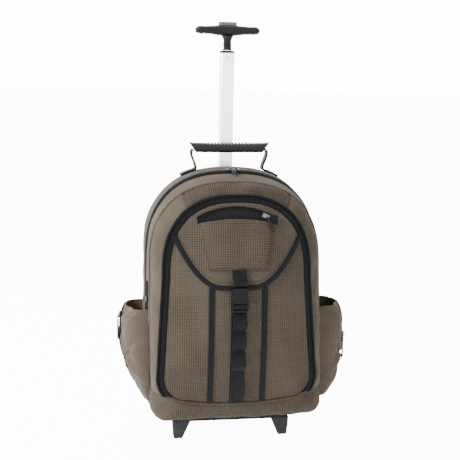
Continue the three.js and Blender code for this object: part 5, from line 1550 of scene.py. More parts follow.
@dataclass
class FrontWebbing:
    """Webbing on the front: trim strips, the looped centre strip, and the side-release buckle with its
    tab."""

    flap: FlapAndPocket
    strip_left: float = -49
    strip_right: float = 51
    strip_width: float = 10.5
    x: float = 2
    buckle_top: float = 316
    buckle_height: float = 46
    buckle_width: float = 33
    buckle_depth: float = 11
    web_width: float = 26.5
    tab_top: float = 348
    # from, to, bulge: shares of the strip's length and of its width
    loops: tuple = ((0.02, 0.19, 0.36), (0.22, 0.40, 0.38), (0.43, 0.64, 0.38), (0.66, 0.98, 0.08))

    @property
    def face(self) -> FrontFace:
        """The front face that the webbing lies on."""
        return self.flap.face

    @property
    def bottom(self) -> float:
        """Where the webbing is caught in the bottom seam."""
        return self.face.bottom + 1.5

    @property
    def buckle_y(self) -> float:
        """Depth of the buckle's back."""
        z = self.buckle_top - self.buckle_height / 2
        return float(self.face.face_y(self.x, z)) - SEAM - 3 - GAP - 1.0

    def on_face(self, x: float, z: Array, out: Array | float) -> Array:
        """Points at one x over the face."""
        return np.stack([np.full(len(z), x), self.face.face_y(x, z) - out, z], axis=1)

    def build(self, shop: Workshop) -> None:
        """Makes the strips, the loops and the buckle."""
        for word, x in (("left", self.strip_left), ("right", self.strip_right)):
            top = float(self.flap.low(np.array(abs(x)))) - 5
            path = self.on_face(x, np.linspace(top, self.bottom, 90), SEAM + WEB / 2)
            skin = bar_skin(carried(path, rounded_section(self.strip_width, WEB, 22, 5)))
            shop.piece(f"trim_strip_webbing_{word}", skin, Cloth.WEBBING, stands_for=(f"trim_strip_{word}",),
                       soft=True)
            for edge, off in (("inner", -1), ("outer", 1)):
                row = path + [off * (self.strip_width / 2 - 1.6), -WEB / 2 - 0.1, 0]
                shop.piece(f"trim_stitches_{word}_{edge}", grains(row, 3.8, (2.4, 0.6, 0.5), (0, -1, 0)),
                           Cloth.BLACK_THREAD, soft=True)
        self.build_daisy(shop)
        self.build_buckle(shop)

    def build_daisy(self, shop: Workshop) -> None:
        """Makes the backing strip and the looped strip: between two bar tacks it bulges by sin(pi s^1.5)^0.6,
        fuller below, and each tack draws its width in."""
        z = np.linspace(self.buckle_top - 13, self.bottom, 100)
        backing = bar_skin(carried(self.on_face(self.x - 0.8, z, SEAM + WEB / 2),
                                   rounded_section(self.web_width, WEB, 24, 5)))
        shop.piece("daisy_backing_webbing", backing, Cloth.WEBBING, stands_for=("daisy_backing",), soft=True)
        start = self.buckle_top - self.buckle_height - 2 * GAP
        share = np.linspace(0, 1, 260)
        z = start + (self.bottom + 1 - start) * share
        out = np.full(len(z), 2 * SEAM + 1.5 * WEB)
        sway = np.zeros(len(z))
        for low, high, bulge in self.loops:
            t = np.clip((share - low) / (high - low), 0, 1)
            out += bulge * self.web_width * np.sin(math.pi * t**1.5) ** 0.6
            sway -= 2.6 * np.sin(math.pi * t) ** 2 * (bulge > 0.1)
        path = self.on_face(self.x, z, out) + np.stack([0.5 * np.sin(9 * share), 0 * z, sway], axis=1)
        drawn = sum(np.exp(-(((share - at) / 0.016) ** 2)) for at in (0.205, 0.415, 0.65))
        width = 1 - 0.16 * drawn + 0.02 * np.sin(40 * share)
        section = rounded_section(self.web_width, WEB, 24, 5)[None] * np.stack([width, np.ones(260)],
            axis=1)[:, None]
        shop.piece("daisy_strap_webbing", bar_skin(carried(path, section)),
                   Cloth.WEBBING, stands_for=("daisy_strap",), soft=True)
        tacks = []
        for at in (0.205, 0.415, 0.645, 0.985):
            middle = path[int(at * 259)]
            for row in (-1.5, 0.0, 1.5):
                line = middle + np.stack([np.linspace(-11, 11, 12), np.full(12, -WEB / 2 - 0.1),
                                          np.full(12, row)], axis=1)
                tacks.append(grains(line, 2.4, (2.0, 1.2, 0.8), (0, -1, 0)))
        shop.piece("daisy_bar_tacks", joined(tacks), Cloth.BLACK_THREAD, soft=True)

    def build_buckle(self, shop: Workshop) -> None:
        """Makes the tab, the socket with its waist and shoulders, the plug's frame and the webbing in its
        slots."""
        y = self.buckle_y
        front = y - self.buckle_depth
        low = self.buckle_top - self.buckle_height
        flap_face = float(self.face.face_y(self.x, self.tab_top)) - 2 * SEAM - CLOTH - WEB
        tab = smooth_path([
            [self.x, flap_face, self.tab_top], [self.x, flap_face - 0.6, self.tab_top - 14],
            [self.x, y - 2.6 * WEB, self.buckle_top + 10], [self.x, y - 3 * WEB, self.buckle_top + 3],
        ], 40)
        shop.piece("buckle_tab_webbing",
                   bar_skin(carried(tab, rounded_section(self.web_width, 2 * WEB, 26, 5))),
                   Cloth.WEBBING, stands_for=("buckle_tab",), soft=True)
        # height up from the plug's foot, half width, front depth share: the socket narrows to a waist and
        # spreads to its shoulders over the side windows
        rows = np.array([
            [46.0, 12.8, 0.62], [45.2, 14.0, 0.82], [43.0, 14.4, 0.92], [40.0, 13.4, 0.95],
            [36.5, 12.3, 0.98], [33.0, 13.4, 1.0],
            [29.0, 16.2, 1.0], [26.0, 16.9, 1.0], [23.5, 16.4, 0.98], [21.5, 15.0, 0.95],
        ])
        z = np.linspace(46.0, 21.5, 40)
        table = curve_through(-rows[:, 0], rows[:, 1:], -z)
        t = np.linspace(0, 2 * math.pi, 40, endpoint=False)
        c, s = np.cos(t), np.sin(t)
        oval = np.stack([np.sign(c) * np.abs(c) ** 0.4, np.sign(s) * np.abs(s) ** 0.5], axis=1)
        depth = table[:, 1] * self.buckle_depth
        across = self.x + oval[None, :, 0] * table[:, 0][:, None]
        middle = y - depth / 2
        deep = middle[:, None] + oval[None, :, 1] * depth[:, None] / 2
        rings = np.stack([across, deep, np.broadcast_to((low + z)[:, None], across.shape)], axis=-1)
        shop.piece("buckle_socket_shell", bar_skin(rings), Cloth.ACETAL, stands_for=("buckle_socket",),
                   sharp=35, soft=True)
        self.build_plug(shop, low, front)

    def build_plug(self, shop: Workshop, low: float, front: float) -> None:
        """Makes the plug's frame with its two webbing slots, the raised guide above it and the webbing
        bar."""
        t = np.linspace(0, math.pi / 2, 6)
        half, radius = self.buckle_width / 2, 3.5
        corner = np.stack([np.cos(t), np.sin(t)], axis=1) * radius
        turns = [corner * s for s in ([1, 1], [-1, 1], [-1, -1], [1, -1])]
        turns = [turns[0], turns[1][::-1], turns[2], turns[3][::-1]]

        def rounded(x0: float, x1: float, z0: float, z1: float, scale: float) -> Array:
            middles = [(x1 - radius * scale, z1 - radius * scale), (x0 + radius * scale, z1 - radius * scale),
                       (x0 + radius * scale, z0 + radius * scale), (x1 - radius * scale, z0 + radius * scale)]
            return np.concatenate([turn * scale + np.array(m) for turn, m in zip(turns, middles)])

        outlines = [rounded(-half, half, 0, 21.2, 1.0)]
        outlines += [rounded(-half + 4, half - 4, z, z + 4, 0.35) for z in (4.0, 12.0)]
        shop.plate("buckle_plug_frame", outlines, 7.0, (self.x, front + 5.2, low), (1, 0, 0), (0, 0, 1),
                   Cloth.ACETAL, stands_for=("buckle_plug",), bevel=1.0)
        path = smooth_path([
            [self.x, front + 6.5, low + 5.5], [self.x, front + 2.0, low + 7.4],
            [self.x, front + 0.9, low + 10], [self.x, front + 2.0, low + 12.6],
            [self.x, front + 6.5, low + 14.5]], 30)
        shop.piece("buckle_bar_webbing",
                   bar_skin(carried(path, rounded_section(self.web_width - 2, WEB, 22, 5))),
                   Cloth.WEBBING, soft=True)


# Side pockets


@dataclass
class SidePockets:
    """Bellows pockets: sheets that stand off the bag's sides, with a bound edge, zip tape and slider."""

    main: MainBody
    y: float = 2
    half_depth: float = 46
    bottom: float = 75
    top: float = 257
    bulge: float = 57
    tape_width: float = 9
    tape_end: float = 0.16
    slider_left: float = 0.90
    slider_right: float = 0.62
    # rise, left, right: shares of the height and of the full bulge
    table: tuple = (
        (0.00, 0.10, 0.30), (0.12, 0.33, 0.66), (0.28, 0.58, 0.82), (0.50, 0.78, 0.90), (0.75, 0.84, 1.00),
        (0.90, 0.81, 0.95), (1.00, 0.66, 0.80),
    )
    # rise, around, slope, depth, spread: where each fold lies, how it climbs, and its depth and width as
    # shares
    folds: tuple = (
        (0.34, -0.45, 0.22, -0.055, 0.055), (0.58, 0.10, 0.30, 0.045, 0.07),
        (0.80, 0.45, -0.20, -0.050, 0.05),
        (0.20, 0.30, -0.35, -0.050, 0.035), (0.46, -0.70, 0.40, -0.040, 0.030),
        (0.70, -0.30, 0.45, -0.030, 0.028),
        (0.88, -0.60, -0.30, -0.032, 0.026), (0.12, -0.20, 0.30, 0.030, 0.030),
    )

    def points(self, side: int, around: Array, rise: Array, inset: float) -> Array:
        """The pocket's face: it stands off the bag's side by its bulge at that height, times a superellipse
        dome across its depth, with folds as narrow waves along slanted lines.

        Args:
            side: -1 left, 1 right.
            around: -1 at its front edge to 1 at its back edge.
            rise: share of its height.
            inset: how far inside its face.

        Returns:
            The points.
        """
        rows = np.array(self.table)
        z = self.bottom + (self.top - self.bottom) * rise
        y = self.y + (self.half_depth - inset) * around
        share = curve_through(rows[:, 0], rows[:, 1 if side < 0 else 2], rise)
        for at, centre, slope, depth, spread in self.folds:
            # The zip tape holds the cloth taut, so the folds fade towards it
            taut = 2.2 - 1.9 * np.exp(-((around / 0.2) ** 2))
            share = share + taut * depth * np.exp(-(((rise - at - slope * (around - centre)) / spread) ** 2))
        dome = (1 - np.abs(around) ** 3) ** (1 / 3)
        wave = ripples(y, z, 61 + side, 46) * 1.0 * dome
        reach = (self.bulge * share - inset) * dome + wave
        x = self.main.side_x(side, y, z) + side * (SEAM + reach)
        return np.stack([x, y, z], axis=-1)

    def build(self, shop: Workshop) -> None:
        """Makes both pockets."""
        for word, side in SIDES:
            self.build_pocket(shop, word, side)
            self.build_tape(shop, word, side)
            self.build_slider(shop, word, side)
            self.build_side_tape(shop, word, side)

    def build_pocket(self, shop: Workshop, word: str, side: int) -> None:
        """Makes one pocket's cloth, with a turned hem at its mouth and a row of stitches under it."""
        turn = np.linspace(-1, 1, 90)
        around = (np.sign(turn) * (1 - (1 - np.abs(turn)) ** 1.6))[None]
        rise = np.linspace(0, 1, 80)[:, None]
        outer = self.points(side, around + 0 * rise, rise + 0 * around, 0)
        # The inner face starts above the floor
        above = np.maximum(rise, CLOTH / (self.top - self.bottom))
        inner = self.points(side, around + 0 * rise, above + 0 * around, CLOTH)
        outer[..., 0] += side * smooth_step(rise, 0.925, 0.935) * 0.9
        outer, inner = (self.with_floor(side, grid, low) for grid, low in ((outer, 0.0), (inner, CLOTH)))
        piece = shop.piece(f"side_pocket_cloth_{word}", sheet_skin(outer, inner), Cloth.POCKET,
                           stands_for=(f"side_pocket_{word}",))
        line = self.points(side, np.linspace(-0.97, 0.97, 60), np.full(60, 0.915), 0) + [side * 0.4, 0, 0]
        shop.piece(f"side_pocket_stitches_{word}", grains(line, 4.4, (3.0, 0.9, 0.7), (side, 0, 0)),
                   Cloth.THREAD)

    def with_floor(self, side: int, grid: Array, low: float) -> Array:
        """The pocket's grid with a floor: rows that run in from its first one to the bag's side, 1 mm lower
        there."""
        share = np.array([0.0, 0.35, 0.7, 0.9])[:, None, None]
        y, z = grid[0, :, 1], np.full(grid.shape[1], self.bottom - 1 + low)
        tied = np.stack([self.main.side_x(side, y, z) + side * SEAM, y, z], axis=-1)
        return np.concatenate([tied[None] + (grid[0] - tied)[None] * share, grid])

    def build_tape(self, shop: Workshop, word: str, side: int) -> None:
        """Makes the zip tape down the pocket's outermost line, with its coil."""
        rise = np.linspace(self.tape_end, 1.0, 70)
        edge = self.tape_width / 2 / self.half_depth
        around = np.array([-1, -0.9, -0.6, -0.3, -0.15, 0.15, 0.3, 0.6, 0.9, 1]) * edge
        height = np.array([0.0, 1.0, 1.3, 0.8, 1.7, 1.7, 0.8, 1.3, 1.0, 0.0]) + 0.7
        face = self.points(side, around[None] + 0 * rise[:, None], rise[:, None] + 0 * around[None], 0)
        front = face + side * height[None, :, None] * np.array([1.0, 0, 0])
        back = (face + side * 0.3 * np.array([1.0, 0, 0]))[:, ::-1]
        rings = np.concatenate([front, back[:, 1:-1]], axis=1)
        shop.piece(f"pocket_zip_tape_{word}", bar_skin(rings), Cloth.ZIP_TAPE,
                   stands_for=(f"pocket_tape_{word}",), sharp=60)
        line = self.points(side, np.zeros(70), rise, 0) + [side * 2.3, 0, 0]
        shop.piece(f"pocket_zip_coil_{word}", grains(line, 2.8, (1.8, 3.0, 1.2), (side, 0, 0)), Cloth.COIL)

    def build_slider(self, shop: Workshop, word: str, side: int) -> None:
        """Makes the slider with a ring and a rod that hangs from it."""
        at = self.slider_left if side < 0 else self.slider_right
        rise = at + np.linspace(-6, 6, 9) / (self.top - self.bottom)
        middle = self.points(side, np.zeros(9), rise, 0) + [side * 3.6, 0, 0]
        body = bar_skin(carried(middle, rounded_section(8.4, 3.4, 16), (0.0, 1.0, 0.0)))
        drop = self.points(side, np.zeros(30), np.linspace(at - 0.02, at - 0.34, 30), 0)
        out = np.max(side * drop[:, 0]) * side + side * 4.2
        z = middle[4, 2]
        loop = np.linspace(0, 2 * math.pi, 24, endpoint=False)
        t = np.linspace(0, 2 * math.pi, 8, endpoint=False)
        radial = np.stack([0 * loop, np.cos(loop), np.sin(loop)], axis=1)
        ring = np.array([out, self.y, z - 7.0]) + radial[:, None] * (4.0 + 1.0 * np.cos(t)[None, :, None])
        ring = ring + np.array([side * 1.0, 0, 0]) * np.sin(t)[None, :, None]
        link = bar_skin(carried(smooth_path([[middle[4, 0], self.y, z + 3],
                                             [middle[4, 0] + side * 3.4, self.y, z + 1],
                                             [middle[4, 0] + side * 3.2, self.y, z - 4],
                                             [middle[4, 0] + side * 0.6, self.y, z - 5]], 16),
                                rounded_section(3.0, 1.1, 10), (0.0, 1.0, 0.0)))
        shop.piece(f"pocket_slider_body_{word}", joined([body, bar_skin(ring, loop=True), link]),
                   Cloth.NICKEL,
                   stands_for=(f"pocket_slider_{word}",))
        rod = np.array([[out, self.y, z - 10.5], [out, self.y, z - 12], [out, self.y, z - 48],
                        [out, self.y, z - 50]])
        rod = smooth_path(rod, 24)
        width = np.interp(np.linspace(0, 1, 24), [0, 0.06, 0.2, 0.85, 1], [1.2, 2.6, 3.2, 3.8, 3.0])
        section = rounded_section(1, 1, 14, 3)[None] * np.stack([width, np.full(24, 3.4)], axis=1)[:, None]
        shop.piece(f"pocket_pull_{word}", bar_skin(carried(rod, section, (0.0, 1.0, 0.0))), Cloth.HANDLE)

    def build_side_tape(self, shop: Workshop, word: str, side: int) -> None:
        """Makes the tape that runs up the bag's side from the pocket's front edge, with a small keeper."""
        z = np.linspace(self.top - 10, self.top + 56, 40)
        y = np.full(40, self.main.zip_y - 24.0)
        x = self.main.side_x(side, y, z) + side * 1.9
        path = np.stack([x, y, z], axis=1)
        tape = bar_skin(carried(path, rounded_section(9.0, 1.8, 16, 4), (0.0, 1.0, 0.0)))
        shop.piece(f"side_tape_{word}", tape, Cloth.ZIP_TAPE)
        keeper = path[16:22] + [side * 1.6, 0, 0]
        shop.piece(f"side_keeper_{word}",
                   bar_skin(carried(keeper, rounded_section(10.0, 2.6, 16), (0.0, 1.0, 0.0))), Cloth.NICKEL)


# Carry handle


@dataclass
class CarryHandle:
    """The moulded carry grip with its ridges and the webbing that holds it."""

    main: MainBody
    half_length: float = 77
    y: float = 32
    z: float = 561
    anchor_x: float = 66
    anchor_reach: float = 30
    web_width: float = 25
    # share of the half length, up, height, depth
    table: tuple = (
        (0.00, -0.6, 18.0, 27.0), (0.45, -0.4, 18.2, 27.0), (0.75, 0.0, 18.4, 26.0), (0.86, 0.6, 17.4, 25.0),
        (0.92, 4.2, 10.4, 24.0), (1.00, 8.4, 3.2, 21.0),
    )

    def build(self, shop: Workshop) -> None:
        """Makes the grip and its two straps."""
        share = np.concatenate([np.linspace(-1, -0.86, 10), np.linspace(-0.85, 0.85, 150),
                                np.linspace(0.86, 1, 10)])
        rows = np.array(self.table)
        up, height, depth = curve_through(rows[:, 0], rows[:, 1:], np.abs(share)).T
        t = np.linspace(0, 2 * math.pi, 36, endpoint=False)
        c, s = np.cos(t), np.sin(t)
        x = share * self.half_length
        ridge = (0.5 + 0.5 * np.cos(2 * math.pi * x / 6.8)) * smooth_step(-np.abs(x), -42, -39)
        dip = 0.8 * smooth_step(-np.abs(x), -42, -39)
        rise = np.sign(s) * np.abs(s) ** 0.7
        z = self.z + up[:, None] + rise[None] * height[:, None] / 2
        z = z + np.maximum(rise, 0)[None] ** 2 * (3.0 * ridge - 1.6 * dip)[:, None]
        # Fine hatching near the ends, on the front and back faces
        hatch = 0.45 * np.cos(2 * math.pi * (x[:, None] + z) / 4.0) * smooth_step(np.abs(x), 48, 51)[:, None]
        hatch = hatch * (1 - smooth_step(np.abs(x), 62, 65))[:, None] * np.abs(np.cos(t))[None] ** 3
        y = self.y + (np.sign(c) * np.abs(c) ** 0.7)[None] * (depth[:, None] / 2 + hatch)
        rings = np.stack([np.broadcast_to(x[:, None], z.shape), y, z], axis=-1)
        shop.piece("carry_grip_moulding", bar_skin(rings), Cloth.GRIP, stands_for=("carry_grip",), sharp=60)
        for word, side in SIDES:
            self.build_strap(shop, word, side)

    def build_strap(self, shop: Workshop, word: str, side: int) -> None:
        """Makes one strap: sewn flat on the crown, then up into the grip."""
        lift = WEB / 2 + SEAM + 0.6
        flat = [[side * x, self.y, self.main.crown_z(side * x, self.y) + lift]
                for x in np.linspace(self.anchor_x + self.anchor_reach, self.anchor_x + 4, 5)]
        knee = self.main.crown_z(side * self.anchor_x, self.y) + lift
        up = [
            [side * (self.anchor_x - 0.5), self.y, knee + 2],
            [side * (self.anchor_x + 0.3), self.y, knee + 6],
            [side * (self.anchor_x + 3.6), self.y, knee + 16],
            [side * (self.anchor_x + 7.5), self.y, self.z - 15],
            [side * (self.anchor_x + 8.3), self.y, self.z - 9],
            [side * (self.anchor_x + 5.5), self.y, self.z - 3],
        ]
        path = smooth_path(flat + up, 90)
        section = rounded_section(self.web_width, 2 * WEB, 24, 5)
        shop.piece(f"carry_webbing_{word}", bar_skin(carried(path, section, (0.0, 1.0, 0.0))),
                   Cloth.WEBBING, stands_for=(f"carry_strap_{word}",))
        base = path[:26] + [0, 0, WEB + 0.1]
        rows = [grains(base + [0, off, 0], 3.8, (2.6, 0.8, 0.6), (0, 0, 1)) for off in (-9.5, 9.5)]
        cross = np.linspace(base[4], base[20], 30)
        rows += [grains(cross + np.stack([0 * s, s, 0 * s], axis=1), 3.8, (2.6, 0.8, 0.6), (0, 0, 1))
                 for s in (np.linspace(-9, 9, 30), np.linspace(9, -9, 30))]
        shop.piece(f"carry_stitches_{word}", joined(rows), Cloth.BLACK_THREAD)


# Trolley


@dataclass
class Trolley:
    """The pull-out handle: fixed tube, socket, sliding tube, collar, ringed neck, grip and button."""

    y: float = 76
    width: float = 28
    depth: float = 18
    corner: float = 7
    top: float = 742
    exposed: float = 224
    overlap: float = 60
    wall: float = 1.5
    outer_wall: float = 1.5
    slack: float = 1
    socket_height: float = 12
    rim: float = 3
    half_span: float = 63
    grip_z: float = 786
    grip_height: float = 21
    grip_depth: float = 27
    # share of the half span, height share, depth share
    grip_table: tuple = (
        (0.0, 1.0, 1.0), (0.22, 1.0, 1.0), (0.38, 0.88, 0.94), (0.70, 0.76, 0.86), (0.92, 0.70, 0.80),
        (1.0, 0.42, 0.52),
    )

    @property
    def mouth(self) -> float:
        """Height of the socket's top."""
        return self.top - self.exposed

    def section(self, width: float, depth: float, radius: float, groove: float = 0.0) -> Array:
        """A rounded rectangle as x and y, with a shallow groove down the middle of its long faces."""
        t = np.linspace(0, math.pi / 2, 9)
        turn = np.stack([np.cos(t), np.sin(t)], axis=1) * radius
        flat = np.linspace(0, 1, 12)[1:-1, None]
        hw, hd = width / 2 - radius, depth / 2 - radius
        corners = [turn + [hw, hd], (turn * [-1, 1])[::-1] + [-hw, hd], turn * [-1, -1] + [-hw, -hd],
                   (turn * [1, -1])[::-1] + [hw, -hd]]
        parts = []
        for i, part in enumerate(corners):
            after = corners[(i + 1) % 4][0]
            parts += [part, part[-1] + (after - part[-1]) * flat]
        ring = np.concatenate(parts)
        sunk = groove * np.exp(-((ring[:, 0] / 3.0) ** 2))
        ring[:, 1] -= np.sign(ring[:, 1]) * sunk
        return ring

    def bar(self, outer: Array, rows: list[tuple[float, float]], inner: Array | None = None) -> Skin:
        """A bar of a section between heights; each row is a height and how far it is inset. Hollow with
        inner."""
        def rings(section: Array, levels: list[tuple[float, float]]) -> list[Array]:
            made = []
            for z, inset in levels:
                flat = section * (1 - inset / np.abs(section).max(0))
                made.append(np.c_[flat[:, 0], flat[:, 1] + self.y, np.full(len(flat), z)])
            return made

        if inner is None:
            return bar_skin(np.stack(rings(outer, rows)))
        inside = [(z, 0.0) for z, _ in rows[::-1]]
        return bar_skin(np.stack(rings(outer, rows) + rings(inner, inside)), loop=True)

    def build(self, shop: Workshop) -> None:
        """Makes every piece of the trolley."""
        wide, deep = (v + 2 * (self.slack + self.outer_wall) for v in (self.width, self.depth))
        round_ = self.corner + self.slack + self.outer_wall
        low = self.mouth - self.socket_height
        shop.keep("outer_tube", Cloth.TUBE)
        socket = self.bar(
            self.section(wide + self.rim, deep + self.rim, round_),
            [(low, 0.6), (low + 0.8, 0), (self.mouth - 3.4, 0), (self.mouth - 3.2, -1.6),
             (self.mouth - 0.9, -1.6), (self.mouth, -0.6)],
            self.section(self.width + 1.2, self.depth + 1.2, self.corner + 0.6))
        shop.piece("tube_socket_moulding", socket, Cloth.HANDLE, stands_for=("tube_socket",), sharp=35)
        tube = self.bar(
            self.section(self.width, self.depth, self.corner, 0.5),
            [(self.mouth - self.overlap, 0), (self.mouth - self.overlap + 1, 0), (self.top - 1, 0),
             (self.top, 0.3)],
            self.section(self.width - 2 * self.wall, self.depth - 2 * self.wall, self.corner - self.wall))
        shop.piece("inner_tube_extrusion", tube, Cloth.TUBE, Body.HANDLE, ("inner_tube",), sharp=35)
        rivet = turned_rings(np.array([[-1.4, 0.01], [-1.3, 1.6], [-0.6, 2.4], [0.8, 2.4]]), (0, 0, 0), "x",
                             20)
        rivet = rivet[..., [1, 0, 2]] + np.array([0.0, self.y - self.depth / 2 + 0.4, self.top - 9])
        shop.piece("tube_rivet", bar_skin(rivet), Cloth.STEEL, Body.HANDLE)
        collar_low = self.top + GAP
        collar = self.bar(
            self.section(self.width + 2, self.depth + 2, self.corner + 1),
            [(collar_low, 0.5), (collar_low + 0.6, 0), (collar_low + 2.8, 0), (collar_low + 4.2, 1.6),
             (collar_low + 5, 4.4)])
        shop.piece("tube_collar_moulding", collar, Cloth.HANDLE, Body.HANDLE, ("tube_collar",), sharp=35)
        self.build_neck(shop, collar_low + 5 + GAP)
        self.build_grip(shop)
        button = self.bar(self.section(36.6, 12.6, 5), [
            (self.grip_z + 4.6, 0.6), (self.grip_z + 5.2, 0), (self.grip_z + 14.8, 0),
            (self.grip_z + 16.0, 0.5), (self.grip_z + 16.5, 1.6)])
        shop.piece("release_button_cap", button, Cloth.BUTTON, Body.BUTTON, ("release_button",), sharp=50)

    def build_neck(self, shop: Workshop, low: float) -> None:
        """Makes the neck: a turned profile with two rings that spreads under the grip."""
        high = self.grip_z - self.grip_height / 2 + 0.3
        rows = np.array([
            [0.0, 0.3], [0.0, 1.1], [0.02, 1.18], [0.09, 1.18], [0.11, 1.0], [0.28, 1.0], [0.30, 1.12],
            [0.36, 1.14], [0.38, 0.98],
            [0.42, 0.98], [0.44, 1.1], [0.5, 1.1], [0.52, 0.95], [0.7, 1.0], [0.85, 1.2], [1.0, 1.5],
            [1.0, 0.4],
        ])
        profile = np.stack([low + rows[:, 0] * (high - low), rows[:, 1] * 8.0], axis=1)
        rings = turned_rings(profile, (0, self.y, 0), "z", 48)
        shop.piece("grip_neck_moulding", bar_skin(rings), Cloth.HANDLE, Body.HANDLE, ("grip_neck",), sharp=35)

    def build_grip(self, shop: Workshop) -> None:
        """Makes the T-shaped grip: rounded sections along its span, finger waves under its wings, a parting
        line and the well that the button sits in."""
        rows = np.array(self.grip_table)
        share = np.concatenate([np.linspace(-1, -0.93, 8), np.linspace(-0.92, 0.92, 150),
                                np.linspace(0.93, 1, 8)])
        height, depth = curve_through(rows[:, 0], rows[:, 1:], np.abs(share)).T
        t = np.linspace(0, 2 * math.pi, 40, endpoint=False) + math.pi / 40
        c, s = np.cos(t), np.sin(t)
        x = share * self.half_span
        wings = smooth_step(np.abs(share), 0.42, 0.5) * (1 - smooth_step(np.abs(share), 0.9, 0.96))
        finger = (0.5 + 0.5 * np.cos(2 * math.pi * (np.abs(x) - 30) / 5.2)) * wings
        rise = np.sign(s) * np.abs(s) ** 0.8
        z = self.grip_z + rise[None] * height[:, None] * self.grip_height / 2
        z = z + np.maximum(-rise, 0)[None] ** 2 * (1.2 * finger)[:, None]
        y = self.y + (np.sign(c) * np.abs(c) ** 0.8)[None] * depth[:, None] * self.grip_depth / 2
        line = 0.6 * np.exp(-(((np.abs(x) - 21.5) / 0.8) ** 2))[:, None]
        y = y - (y - self.y) / self.grip_depth * 2 * line
        z = z - (z - self.grip_z) / self.grip_height * 2 * line
        rings = np.stack([np.broadcast_to(x[:, None], z.shape), y, z], axis=-1)
        grip = shop.piece("pull_grip_moulding", bar_skin(rings), Cloth.HANDLE, Body.HANDLE, ("pull_grip",),
                          sharp=60)
        well = self.bar(self.section(37.6, 13.6, 5.2),
                        [(self.grip_z + 1.2, 0), (self.grip_z + 2, 0), (self.grip_z + 30, 0),
                         (self.grip_z + 31, 0)])
        shop.cut_out(grip, well)


# Back


